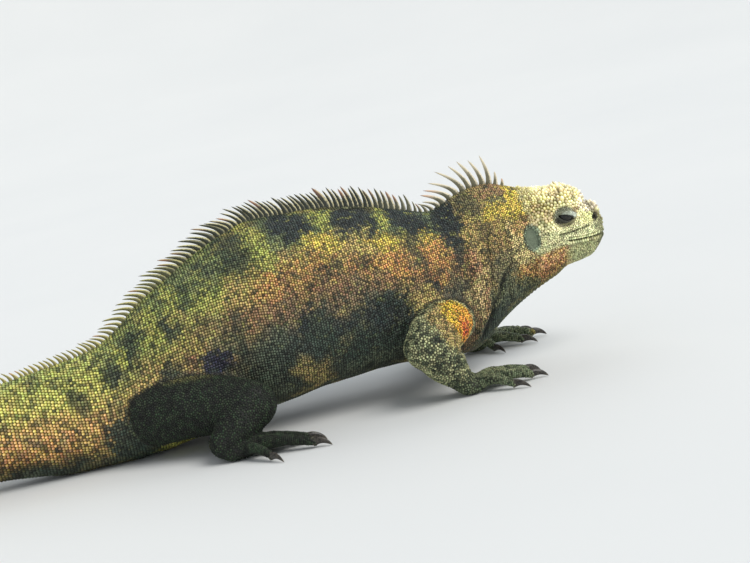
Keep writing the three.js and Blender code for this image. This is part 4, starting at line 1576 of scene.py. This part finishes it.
PATCHES = [
    ["ochre", 146, 0.71, 20, 0.07, 0.3, 0.7],
    ["rust", 152, 0.58, 24, 0.08, 0.2, 0.6],
    ["dark_green", 84, 0.44, 34, 0.09, 0.4, 0.7],
    ["dark_green", 152, 0.32, 30, 0.12, 0.0, 0.4],
    ["dark_green", 255, 0.33, 42, 0.16, -0.3, 0.85],
    ["blue_black", 262, 0.42, 20, 0.10, -0.4, 0.75],
    ["blue_black", 228, 0.42, 12, 0.08, 0.0, 0.6],
    ["dark_green", 205, 0.40, 16, 0.12, 0.3, 0.75],
    ["brown", 180, 0.56, 16, 0.08, 0.3, 0.6],
    ["blue_black", 193, 0.49, 7, 0.07, 0.0, 0.85],
    ["brown", 187, 0.62, 8, 0.10, 0.3, 0.6],
    ["brown", 240, 0.58, 32, 0.06, 0.1, 0.5],
    ["orange", 176, 0.66, 10, 0.09, 0.3, 0.45],
    ["orange", 276, 0.68, 13, 0.08, 0.2, 0.85],
    ["dark_green", 224, 0.70, 11, 0.06, 0.5, 0.65],
    ["dark_green", 250, 0.71, 7, 0.05, 0.0, 0.6],
    ["orange", 212, 0.755, 20, 0.035, 0.3, 0.45],
    ["yellow", 226, 0.84, 15, 0.05, 0.0, 0.75],
    ["ochre", 250, 0.80, 14, 0.03, 0.0, 0.8],
    ["yellow", 275, 0.81, 13, 0.06, 0.2, 0.95],
    ["ochre", 190, 0.80, 14, 0.06, 0.4, 0.5],
    ["yellow_green", 172, 0.86, 12, 0.12, 0.4, 0.85],
    ["yellow_green", 128, 0.75, 13, 0.10, 0.4, 0.6],
    ["yellow_green", 276, 0.95, 7, 0.06, 0.0, 0.9],
    ["yellow_green", 229, 0.95, 9, 0.06, 0.0, 0.85],
    ["blue_black", 203, 0.95, 15, 0.075, 0.2, 0.97],
    ["blue_black", 254, 0.95, 17, 0.085, 0.1, 0.97],
    ["blue_black", 299, 0.94, 15, 0.09, 0.0, 0.97],
    ["dark_green", 298, 0.76, 5, 0.12, 0.2, 0.7],
    ["orange", 312, 0.80, 10, 0.08, -0.1, 0.8],
    ["yellow", 309, 0.86, 7, 0.04, 0.0, 0.7],
    ["orange", 312, 0.64, 11, 0.12, 0.0, 0.6],
    ["blue_black", 329, 0.90, 11, 0.16, -0.3, 0.97],
    ["blue_black", 331, 0.72, 5, 0.14, 0.0, 0.8],
    ["blue_black", 303, 0.53, 5, 0.04, 0.4, 0.8],
    ["ochre", 300, 0.42, 20, 0.10, 0.4, 0.85],
    ["ochre", 346, 0.78, 6, 0.07, 0.0, 0.7],
    ["pink", 342, 0.60, 6, 0.10, -0.2, 0.7],
    ["pink", 345, 0.36, 7, 0.12, 0.0, 0.55],
    ["grey_green", 366, 0.22, 14, 0.16, 0.2, 0.7],
    ["dark_green", 352, 0.10, 14, 0.11, 0.0, 0.9],
    ["dark_green", 352, 0.92, 9, 0.08, 0.2, 0.55],
    ["rust", 374, 0.96, 12, 0.05, 0.0, 0.7],
    ["dark_green", 358, 0.72, 9, 0.06, 0.4, 0.4],
    ["yellow", 374, 0.82, 13, 0.07, -0.6, 0.85],
    ["sand", 388, 0.52, 10, 0.22, 0.0, 0.9],
    ["sand", 341, 0.40, 8, 0.14, 0.0, 0.55],
    ["orange", 388, 0.27, 9, 0.10, 0.3, 0.6],
    ["yellow", 391, 0.93, 8, 0.14, 0.3, 1.0],
    ["yellow", 388, 0.80, 9, 0.07, 0.0, 0.7],
    ["orange", 391, 0.68, 6, 0.10, 0.0, 0.5],
    ["rust", 326, 0.22, 14, 0.16, 0.0, 0.5],
    ["dark_green", 154, 0.90, 13, 0.12, 0.5, 0.8],
    ["dark_green", 108, 0.88, 7, 0.08, 0.5, 0.7],
    ["dark_green", 89, 0.78, 10, 0.08, 0.2, 0.85],
    ["yellow_green", 98, 0.90, 5, 0.10, 0.5, 0.7],
    ["yellow_green", 78, 0.84, 6, 0.12, 0.5, 0.7],
    ["dark_green", 58, 0.83, 10, 0.09, 0.2, 0.85],
    ["yellow_green", 47, 0.86, 5, 0.12, 0.4, 0.85],
    ["dark_green", 37, 0.77, 8, 0.10, 0.3, 0.85],
    ["yellow_green", 26, 0.82, 7, 0.12, 0.5, 0.5],
    ["dark_green", 8, 0.70, 6, 0.16, 0.6, 0.75],
    ["yellow_green", 0, 0.90, 8, 0.10, 0.5, 0.5],
    ["dark_green", -22, 0.90, 4, 0.10, 0.5, 0.5],
    ["ochre", 62, 0.61, 16, 0.05, 0.3, 0.6],
    ["dark_green", 22, 0.08, 60, 0.08, 0.0, 0.6],
    ["dark_green", 126, 0.92, 6, 0.07, 0.5, 0.6],
    ["blue", 120, 0.45, 9, 0.065, 0.3, 0.95],
    ["rust", 104, 0.51, 6, 0.05, 0.0, 0.8],
    ["dark_green", 86, 0.54, 8, 0.06, 0.0, 0.75],
    ["dark_green", 142, 0.58, 6, 0.06, 0.2, 0.7],
    ["brown", 120, 0.66, 9, 0.06, 0.2, 0.5],
    ["yellow_green", 84, 0.06, 24, 0.06, 0.0, 0.7],
    ["dark_green", 142, 0.46, 5, 0.10, 0.2, 0.65],
    ["dark_green", 62, 0.39, 16, 0.09, 0.2, 0.85],
    ["dark_green", 268, 0.46, 14, 0.07, 0.2, 0.5],
    ["dark_green", 42, 0.24, 18, 0.24, 0.3, 0.95],
    ["dark_green", -74, 0.86, 10, 0.12, 0.3, 0.6],
    ["dark_green", -120, 0.80, 16, 0.16, 0.4, 0.75],
    ["dark_green", -190, 0.74, 18, 0.26, 0.4, 0.8],
    ["dark_green", -262, 0.72, 20, 0.30, 0.4, 0.85],
    ["dark_green", -342, 0.66, 24, 0.36, 0.4, 0.85],
    ["dark_green", -430, 0.60, 28, 0.44, 0.4, 0.85],
]
print("patches:", len(PATCHES), "paints:", len(PAINTS))

# %% Base colours and patches
markings_group, f, given, end = new_group(
    "Markings",
    {"Along": "value", "Rise": "value", "Limb": "value", "Root": "place"},
    {"Color": "colour", "Pale": "value"},
)
_, slow = f.noise(given["Root"], 58.0, 1.0)
_, quick = f.noise(given["Root"], 260.0, 1.0)
slow_x, slow_y, _ = f.parts(slow)
quick_x, quick_y, quick_z = f.parts(quick)
slow_stray = f.times(f.minus(slow_x, 0.5), 22.0)
along = f.plus(f.times(given["Along"], 1000.0), slow_stray)
along = f.plus(along, f.times(f.minus(quick_x, 0.5), 9.0))
height = f.plus(given["Rise"], f.times(f.minus(slow_y, 0.5), 0.14))
height = f.plus(height, f.times(f.minus(quick_y, 0.5), 0.09))
tear = f.times(f.minus(quick_z, 0.5), 1.3)

colour = f.blend(f.step(along, 185.0, 120.0), f.ramp(height, FRONT_RAMP), f.ramp(height, REAR_RAMP))
colour = f.blend(f.step(along, 60.0, 20.0), colour, f.ramp(height, TAIL_RAMP))
colour = f.blend(f.step(along, 322.0, 342.0), colour, f.ramp(height, NECK_RAMP))
far_tail = f.step(along, -140.0, -420.0, 0.0, 0.62)
colour = f.blend(far_tail, colour, paint(64, 66, 48))
broad, _ = f.noise(given["Root"], 34.0, 2.0)
colour = f.blend(f.step(broad, 0.5, 0.68, 0.0, 0.5), colour, PAINTS["ochre"])
colour = f.blend(f.step(broad, 0.46, 0.34, 0.0, 0.5), colour, PAINTS["grey_green"])
for paint_name, centre, middle, half_along, half_rise, tilt, strength in PATCHES:
    mask = f.group(
        patch_group, along=along, rise=height, tear=tear, centre_along=float(centre), centre_rise=middle,
        half_along=float(half_along), half_rise=half_rise, tilt=tilt,
    )["Mask"]
    colour = f.blend(f.times(mask, strength), colour, PAINTS[paint_name])
flecks, _ = f.noise(given["Root"], 150.0, 3.0, 0.62)
colour = f.blend(f.step(flecks, 0.52, 0.66, 0.0, 0.72), colour, PAINTS["dark_green"])
pale_flecks = f.times(f.step(flecks, 0.44, 0.32, 0.0, 0.4), f.step(height, 0.35, 0.6, 0.2, 1.0))
colour = f.blend(pale_flecks, colour, PAINTS["yellow_green"])

# %% Legs in the markings
root_x, root_y, root_z = f.parts(given["Root"])
side_y = f.math("ABSOLUTE", root_y)
mirrored = f.put("ShaderNodeCombineXYZ", {0: root_x, 1: side_y, 2: root_z}).outputs[0]
past_neck = f.math("MAXIMUM", f.minus(given["Along"], 0.33), 0.0)
middle_y = f.times(f.times(past_neck, past_neck), -0.66)
head_y = f.math("ABSOLUTE", f.minus(root_y, middle_y))
on_head = f.put("ShaderNodeCombineXYZ", {0: given["Along"], 1: head_y, 2: root_z}).outputs[0]
is_arm = f.step(root_x, 0.2, 0.23)
# The hind legs are painted near black, partly their own dark colour and partly painted shadow. Above about
# 65 mm the top of the thigh is painted pale, painted light from above.
leg = f.blend(f.step(flecks, 0.38, 0.62), paint(40, 54, 36), paint(12, 20, 12))
leg = f.blend(f.step(root_z, 0.060, 0.071), leg, paint(176, 168, 104))
arm = f.blend(f.step(flecks, 0.42, 0.64), paint(172, 174, 132), paint(58, 68, 52))
arm = f.blend(f.step(root_z, 0.024, 0.008), arm, paint(96, 106, 80))
tear_small = f.times(tear, 0.45)
for spot, size, shade, strength in (
    [(0.304, 0.080, 0.058), (0.024, 0.026, 0.022), paint(182, 160, 104), 0.85],
    [(0.312, 0.072, 0.064), (0.016, 0.020, 0.016), paint(230, 190, 84), 0.97],
    [(0.320, 0.070, 0.052), (0.013, 0.020, 0.018), paint(232, 164, 66), 0.97],
    [(0.319, 0.074, 0.050), (0.008, 0.012, 0.009), paint(222, 112, 50), 0.9],
):
    reach = f.plus(f.away(mirrored, spot, size), tear_small)
    arm = f.blend(f.step(reach, 1.15, 0.7, 0.0, strength), arm, shade)
limb = f.blend(is_arm, leg, arm)
limb_mask = f.step(f.plus(given["Limb"], f.times(tear, 0.3)), 0.25, 0.6)
colour = f.blend(limb_mask, colour, limb)
# Where a limb leaves the trunk a dark ring is painted, painted shade in the crease.
leaving_trunk = f.step(given["Limb"], 0.05, 0.35)
crease_shade = f.times(leaving_trunk, f.step(given["Limb"], 0.85, 0.5, 0.0, 0.75))
colour = f.blend(crease_shade, colour, paint(34, 34, 24))

# %% Head in the markings
head_tone, _ = f.noise(given["Root"], 190.0, 2.0)
head = f.blend(f.step(head_tone, 0.4, 0.6), paint(252, 244, 192), paint(240, 232, 174))
head = f.blend(f.step(given["Along"], 0.414, 0.402, 0.0, 0.6), head, paint(200, 190, 128))
head = f.blend(f.step(height, 0.84, 0.66), head, paint(234, 228, 170))
head = f.blend(f.step(root_z, 0.108, 0.098), head, paint(228, 230, 174))
head = f.blend(f.step(root_z, 0.0925, 0.088), head, paint(162, 164, 116))
for spot, size, shade, strength in (
    [(0.409, 0.026, 0.119), (0.012, 0.02, 0.010), paint(178, 160, 104), 0.8],
    [(0.406, 0.026, 0.106), (0.008, 0.02, 0.010), paint(164, 162, 116), 0.6],
    [(0.412, 0.026, 0.094), (0.012, 0.02, 0.006), paint(176, 172, 124), 0.6],
    [(0.439, 0.030, 0.1165), (0.0045, 0.012, 0.0045), paint(158, 126, 78), 0.7],
    [(0.447, 0.016, 0.108), (0.008, 0.012, 0.006), paint(214, 214, 140), 0.6],
    [(0.452, 0.006, 0.119), (0.014, 0.020, 0.009), paint(255, 244, 214), 0.9],
    [(0.428, 0.010, 0.129), (0.018, 0.016, 0.007), paint(250, 238, 186), 0.8],
    # These five spots paint the eye: a dark ring, painted shade in the crease round the lids; the grey upper
    # lid, partly its own colour and partly painted sheen; two pale strokes on its margin, painted highlight;
    # and a dark band at the slit, painted shade.
    [(0.4285, 0.026, 0.1128), (0.0102, 0.02, 0.0082), paint(88, 82, 54), 0.8],
    [(0.428, 0.026, 0.1146), (0.0084, 0.02, 0.0056), paint(132, 136, 114), 0.9],
    [(0.4345, 0.026, 0.1130), (0.0046, 0.02, 0.0026), paint(216, 224, 210), 0.85],
    [(0.4300, 0.026, 0.1152), (0.0046, 0.02, 0.0020), paint(188, 196, 178), 0.7],
    [(0.4272, 0.026, 0.1110), (0.0082, 0.02, 0.0034), paint(40, 42, 32), 0.92],
    # The nostril is painted dark, painted shade in its hole.
    [(0.455, 0.013, 0.1055), (0.0030, 0.010, 0.0030), paint(52, 50, 26), 0.97],
):
    reach = f.away(on_head, spot, size)
    head = f.blend(f.step(reach, 1.12, 0.88, 0.0, strength), head, shade)
# A dark line is painted along the cheek fold under the eye, painted shade in that crease.
past_cheek = f.math("MAXIMUM", f.minus(given["Along"], 0.436), 0.0)
fold = f.plus(0.0998, f.times(past_cheek, 0.07))
from_fold = f.math("ABSOLUTE", f.minus(root_z, fold))
on_fold = f.times(f.step(given["Along"], 0.419, 0.424), f.step(given["Along"], 0.452, 0.442))
fold_shade = f.times(on_fold, f.step(from_fold, 0.0013, 0.0005, 0.0, 0.6))
head = f.blend(fold_shade, head, paint(118, 116, 68))
throat_top = f.plus(0.0895, f.times(f.minus(given["Along"], 0.424), 0.16))
under_jaw = f.step(f.minus(root_z, throat_top), 0.002, -0.002)
throat = f.times(under_jaw, f.step(given["Along"], 0.431, 0.419))
head = f.blend(throat, head, paint(204, 158, 102))
pleat = f.plus(f.times(given["Along"], 1.0), f.times(root_z, 0.7))
pleat = f.plus(pleat, f.times(quick_y, 0.007))
pleat = f.math("SINE", f.times(pleat, 2150.0))
head = f.blend(f.times(throat, f.step(pleat, 0.1, 0.8, 0.0, 0.7)), head, paint(92, 66, 42))
head = f.blend(f.times(throat, f.step(height, 0.16, 0.05)), head, paint(120, 112, 64))
head_mask = f.step(f.plus(along, f.times(tear, 2.0)), 393.5, 399.0)
colour = f.blend(head_mask, colour, head)
ear_reach = f.away(on_head, (0.3975, 0.030, 0.1020), (0.0074, 0.02, 0.0112))
colour = f.blend(f.step(ear_reach, 1.1, 0.92, 0.0, 0.97), colour, paint(124, 138, 114))
finish_group(f, end, color=colour, pale=head_mask)
print("nodes in the markings:", len(markings_group.nodes))

# %% [markdown]
# The bead group
#
# The top of each scale is painted pale, a painted highlight, and its rim is painted dark, painted shade
# where the scales meet.
# Scales also differ from each other. The group takes a colour, the height on the scale and its own random
# number, and gives the colour and a little unevenness for the bump.

# %% Bead group
bead_group, f, given, end = new_group(
    "Bead",
    {"Color": "colour", "Tip": "value", "Grain": "value", "Position": "place", "Contrast": "value",
     "Dark Share": "value"},
    {"Color": "colour", "Height": "value"},
)
speckle, _ = f.noise(given["Position"], 1500.0, 2.0)
tone = f.plus(0.5, f.times(given["Grain"], 0.94))
other = f.math("FRACT", f.times(given["Grain"], 37.7))
shifted_hue = f.step(other, 0.0, 1.0, 0.478, 0.522)
tinted = f.put(
    "ShaderNodeHueSaturation",
    {"Hue": shifted_hue, "Saturation": 1.15, "Value": tone, "Fac": 1.0, "Color": given["Color"]},
).outputs["Color"]
dark_bead = f.blend(1.0, tinted, (0.25, 0.3, 0.3, 1), "MULTIPLY")
lot = f.math("FRACT", f.times(given["Grain"], 91.3))
is_dark = f.math("LESS_THAN", lot, given["Dark Share"])
bead = f.blend(is_dark, tinted, dark_bead)
# Round the root of each scale the colour is painted much darker, painted shade where the scales meet.
rim_shade = f.blend(1.0, bead, (0.16, 0.15, 0.14, 1), "MULTIPLY")
torn_rim = f.times(f.minus(speckle, 0.5), 0.3)
inside = f.step(f.plus(given["Tip"], torn_rim), 0.0, 0.55)
bead = f.blend(f.times(f.minus(1.0, inside), given["Contrast"]), bead, rim_shade)
# Towards its tip each scale is painted paler and greyer, a painted highlight on its top.
tip_highlight = f.put(
    "ShaderNodeHueSaturation", {"Hue": 0.5, "Saturation": 0.74, "Value": 1.65, "Fac": 1.0, "Color": bead}
).outputs["Color"]
bead = f.blend(f.step(given["Tip"], 0.5, 0.98, 0.0, 0.95), bead, tip_highlight)
finish_group(f, end, color=bead, height=speckle)
print("bead group sockets:", [item.name for item in bead_group.interface.items_tree])

# %% [markdown]
# The salt group
#
# These animals sneeze out salt, which dries as a pale crust on the crown and the snout, and dust
# settles on what faces up. The group gives a mask of such crust from the place and the normal.

# %% Salt group
salt_group, f, given, end = new_group("Salt", {"Position": "place", "Amount": "value"}, {"Mask": "value"})
crust, _ = f.noise(given["Position"], 420.0, 4.0, 0.65)
normal_z = f.parts(f.put("ShaderNodeNewGeometry").outputs["Normal"])[2]
upward = f.step(normal_z, -0.2, 0.8, 0.35, 1.0)
mask = f.times(f.times(f.step(crust, 0.44, 0.66), upward), given["Amount"])
finish_group(f, end, mask=mask)
print("groups:", [tree.name for tree in bpy.data.node_groups])

# %% [markdown]
# Skin, scales and head scales
#
# The three materials share the groups and differ in their values. The skin between the scales is painted
# dark, as painted shade in the gaps, and is matt. The scales are dry horn: fairly rough, a little smoother
# on top, with a painted highlight at the tip and painted shade at the rim. The head is paler and carries the
# salt.

# %% Materials of the skin and scales


def new_material(name):
    made = bpy.data.materials.new(name)
    made.use_nodes = True
    formula = Formula(made.node_tree)
    surface = made.node_tree.nodes["Principled BSDF"]
    return made, formula, surface


def connect(formula, socket, target):
    formula.tree.links.new(socket, target)


def marked(formula):
    """The markings at a point, read from the numbers kept with the skin."""
    return formula.group(
        markings_group, along=formula.read("along"), rise=formula.read("rise"),
        limb=formula.read("limb"), root=formula.read("root", "Vector"),
    )


def bumped(formula, height, distance, strength=1.0):
    inputs = {"Height": height, "Distance": distance, "Strength": strength}
    return formula.put("ShaderNodeBump", inputs).outputs["Normal"]


skin_material, f, surface = new_material("skin between scales")
own_place = f.put("ShaderNodeTexCoord").outputs["Object"]
markings = marked(f)
# Between the scales the skin is painted at a fifth of the markings, painted shade in the gaps. Bare places
# keep the markings.
gap_shade = f.blend(1.0, markings["Color"], (0.2, 0.19, 0.17, 1), "MULTIPLY")
creases, _ = f.noise(own_place, 900.0, 3.0, 0.6)
colour = f.blend(f.read("bare"), gap_shade, markings["Color"])
colour = f.blend(f.step(creases, 0.35, 0.7, 0.0, 0.35), colour, paint(30, 28, 24))
# Sunken places are painted darker, painted shade in the hollows.
colour = f.blend(f.times(f.read("hollow_shade"), 0.75), colour, paint(30, 32, 26))
connect(f, colour, surface.inputs["Base Color"])
connect(f, f.step(creases, 0.3, 0.7, 0.5, 0.8), surface.inputs["Roughness"])
connect(f, bumped(f, creases, 0.00025), surface.inputs["Normal"])


def scale_material(name, contrast, dark_share, salt, rough_low, rough_high):
    """Dry horn beads over the shared markings."""
    made, f, surface = new_material(name)
    own_place = f.put("ShaderNodeTexCoord").outputs["Object"]
    markings = marked(f)
    tip = f.read("tip")
    bead = f.group(
        bead_group, color=markings["Color"], tip=tip, grain=f.read("grain"), position=own_place,
        contrast=contrast, dark_share=dark_share,
    )
    crust = f.group(salt_group, position=own_place, amount=salt)["Mask"]
    colour = f.blend(crust, bead["Color"], paint(236, 230, 206))
    # Scales in sunken places are painted darker, painted shade in the hollows.
    shaded = f.blend(1.0, colour, (0.2, 0.2, 0.18, 1), "MULTIPLY")
    colour = f.blend(f.times(f.read("hollow_shade"), 0.8), colour, shaded)
    roughness = f.math("MAXIMUM", f.step(tip, 0.0, 0.8, rough_high, rough_low), crust)
    connect(f, colour, surface.inputs["Base Color"])
    connect(f, roughness, surface.inputs["Roughness"])
    connect(f, bumped(f, bead["Height"], 0.00012), surface.inputs["Normal"])
    surface.inputs["Specular IOR Level"].default_value = 0.35
    return made


scale_looks = {
    "skin": scale_material(
        "body scales", contrast=0.92, dark_share=0.12, salt=0.06, rough_low=0.5, rough_high=0.85
    ),
    "limb_skin": scale_material(
        "limb scales", contrast=1.0, dark_share=0.2, salt=0.03, rough_low=0.6, rough_high=0.9
    ),
    "head_scales": scale_material(
        "head scales", contrast=0.56, dark_share=0.0, salt=0.26, rough_low=0.6, rough_high=0.9
    ),
}
skin.data.materials.append(skin_material)
for piece in scale_pieces:
    look = "skin"
    if "head" in piece.name:
        look = "head_scales"
    if "arm" in piece.name or "leg" in piece.name:
        look = "limb_skin"
    piece.data.materials.append(scale_looks[look])
print("materials on", len(scale_pieces), "pieces of scales")

# %% [markdown]
# Horn of the crest
#
# A crest spine is a dark blade with pale edges, partly the horn's own paler worn edge and partly painted
# highlight.
# On the nape the spines are nearly cream, along the back they are dark with a light front edge, and on the
# tail they take the yellow of the skin.

# %% Crest material
crest_material, f, surface = new_material("crest horn")
own_place = f.put("ShaderNodeTexCoord").outputs["Object"]
along = f.times(f.read("along"), 1000.0)
tip, grain, edge = f.read("tip"), f.read("grain"), f.read("edge")
streak, _ = f.noise(own_place, 700.0, 3.0, 0.6)
CORE_RAMP = [
    (0.0, paint(142, 134, 76)), (0.22, paint(110, 108, 66)), (0.42, paint(52, 56, 44)),
    (0.84, paint(44, 50, 44)), (0.9, paint(92, 94, 76)), (1.0, paint(116, 112, 88)),
]
EDGE_RAMP = [
    (0.0, paint(206, 190, 118)), (0.3, paint(196, 190, 120)), (0.55, paint(214, 206, 160)),
    (0.85, paint(216, 206, 166)), (0.92, paint(236, 226, 196)), (1.0, paint(240, 228, 200)),
]
core = f.ramp(f.step(along, -80.0, 390.0), CORE_RAMP)
light = f.ramp(f.step(along, -80.0, 390.0), EDGE_RAMP)
ragged_edge = f.times(f.minus(streak, 0.5), 1.2)
# The front edge, and less the rear edge, is painted pale: partly the horn's own paler edge and partly
# painted highlight.
front_edge = f.step(f.plus(edge, ragged_edge), 0.2, 0.75)
rear_edge = f.step(edge, -0.75, -0.98, 0.0, 0.5)
wear_and_shine = f.times(f.math("MAXIMUM", front_edge, rear_edge), f.step(grain, 0.0, 0.6, 0.45, 1.0))
colour = f.blend(wear_and_shine, core, light)
nape = f.step(along, 322.0, 334.0)
cream_tip = f.times(nape, f.step(tip, 0.3, 0.85, 0.0, 0.75))
colour = f.blend(cream_tip, colour, paint(236, 224, 194))
pink_tip = f.times(f.step(grain, 0.72, 0.9), f.step(tip, 0.4, 0.9, 0.0, 0.5))
colour = f.blend(pink_tip, colour, paint(206, 140, 116))
colour = f.blend(f.step(tip, 0.16, 0.0, 0.0, 0.7), colour, paint(66, 66, 46))
connect(f, colour, surface.inputs["Base Color"])
connect(f, f.step(streak, 0.3, 0.7, 0.38, 0.62), surface.inputs["Roughness"])
connect(f, bumped(f, streak, 0.0001), surface.inputs["Normal"])
for piece in crest_pieces:
    piece.data.materials.append(crest_material)
print("crest horn on", len(crest_pieces), "pieces")

# %% [markdown]
# Horn of the claws and the wet eye
#
# Claws are worn smooth: black-brown horn with fine streaks, paler at the root and the tip. The eye is
# the only wet place, with a smooth clear front over a brown iris.

# %% Claw material
claw_material, f, surface = new_material("claw horn")
own_place = f.put("ShaderNodeTexCoord").outputs["Object"]
tip = f.read("tip")
streak, _ = f.noise(own_place, 600.0, 4.0, 0.7)
colour = f.blend(f.step(streak, 0.35, 0.7), paint(30, 28, 26), paint(74, 68, 58))
colour = f.blend(f.step(tip, 0.22, 0.05, 0.0, 0.6), colour, paint(104, 100, 84))
colour = f.blend(f.step(tip, 0.8, 1.0, 0.0, 0.5), colour, paint(120, 112, 96))
connect(f, colour, surface.inputs["Base Color"])
connect(f, f.step(streak, 0.3, 0.7, 0.2, 0.42), surface.inputs["Roughness"])
connect(f, bumped(f, streak, 0.0001), surface.inputs["Normal"])
for piece in claw_pieces:
    piece.data.materials.append(claw_material)
print("claw horn on", len(claw_pieces), "pieces")

# %% Eye material
eye_material, f, surface = new_material("eye")
own_place = f.put("ShaderNodeTexCoord").outputs["Object"]
sight = f.read("sight")
threads, _ = f.noise(own_place, 1800.0, 2.0)
iris = f.blend(f.step(threads, 0.35, 0.65), paint(24, 23, 15), paint(48, 42, 28))
colour = f.blend(f.step(sight, 0.13, 0.15), iris, paint(18, 18, 14))
colour = f.blend(f.step(sight, 0.085, 0.075), colour, paint(6, 5, 5))
connect(f, colour, surface.inputs["Base Color"])
surface.inputs["Roughness"].default_value = 0.08
surface.inputs["Specular IOR Level"].default_value = 0.3
surface.inputs["Coat Weight"].default_value = 0.3
for piece in eye_pieces:
    piece.data.materials.append(eye_material)
print("eye material on", len(eye_pieces), "pieces")

# %% Floor material
floor_material, f, surface = new_material("pale floor")
own_place = f.put("ShaderNodeTexCoord").outputs["Object"]
cloud, _ = f.noise(own_place, 2.2, 3.0)
connect(f, f.blend(cloud, paint(222, 224, 224), paint(230, 231, 230)), surface.inputs["Base Color"])
surface.inputs["Roughness"].default_value = 0.8
print("materials:", len(bpy.data.materials))

# %% [markdown]
# The stage
#
# The floor is a wide pale disc that rises gently far behind the model, so that no edge shows at any
# angle. One broad soft light comes from in front, above the camera's right side, a weaker one from
# behind draws the edge of the crest, and a pale sky fills the shade.

# %% Floor
FLOOR_RINGS = [
    (0.0, 0.0), (0.5, 0.0), (1.2, 0.0), (2.2, 0.0), (2.8, 0.03), (3.4, 0.12), (4.0, 0.3), (4.6, 0.62),
    (5.0, 1.0),
]
FLOOR_SIDES = 96
floor_points = [(0.0, 0.0, 0.0)]
for radius, height in FLOOR_RINGS[1:]:
    for k in range(FLOOR_SIDES):
        turn = 2 * math.pi * k / FLOOR_SIDES
        floor_points.append((radius * math.cos(turn), radius * math.sin(turn), height))
floor_faces = [(0, 1 + k, 1 + (k + 1) % FLOOR_SIDES) for k in range(FLOOR_SIDES)]
for r in range(len(FLOOR_RINGS) - 2):
    inner, outer = 1 + r * FLOOR_SIDES, 1 + (r + 1) * FLOOR_SIDES
    for k in range(FLOOR_SIDES):
        after = (k + 1) % FLOOR_SIDES
        floor_faces.append((inner + k, outer + k, outer + after, inner + after))
floor = object_from("floor", np.array(floor_points) / MM, floor_faces)
floor.data.materials.append(floor_material)
print("floor reaches", FLOOR_RINGS[-1][0], "m")

# %% Light
world = bpy.data.worlds.new("studio")
world.use_nodes = True
sky = world.node_tree.nodes["Background"]
sky.inputs["Color"].default_value = (0.9, 0.95, 1.0, 1)
sky.inputs["Strength"].default_value = 0.55
bpy.context.scene.world = world
bpy.context.scene.view_settings.view_transform = "Standard"


def soft_sun(name, spot, width, strength, colour):
    """A distant lamp as wide as a large soft box, seen from the origin in the direction of spot."""
    lamp = bpy.data.lights.new(name, "SUN")
    lamp.angle = math.radians(width)
    lamp.energy = strength
    lamp.color = colour
    made = bpy.data.objects.new(name, lamp)
    made.location = spot
    made.rotation_mode = "QUATERNION"
    made.rotation_quaternion = (-Vector(spot)).to_track_quat("-Z", "Y")
    bpy.context.scene.collection.objects.link(made)
    return made


key = soft_sun("key", (0.9, -1.0, 1.5), width=38, strength=1.9, colour=(1.0, 0.975, 0.93))
back_light = soft_sun("back light", (0.3, 1.6, 1.3), width=50, strength=0.7, colour=(0.94, 0.97, 1.0))
print("lights:", [lamp.name for lamp in (key, back_light)])
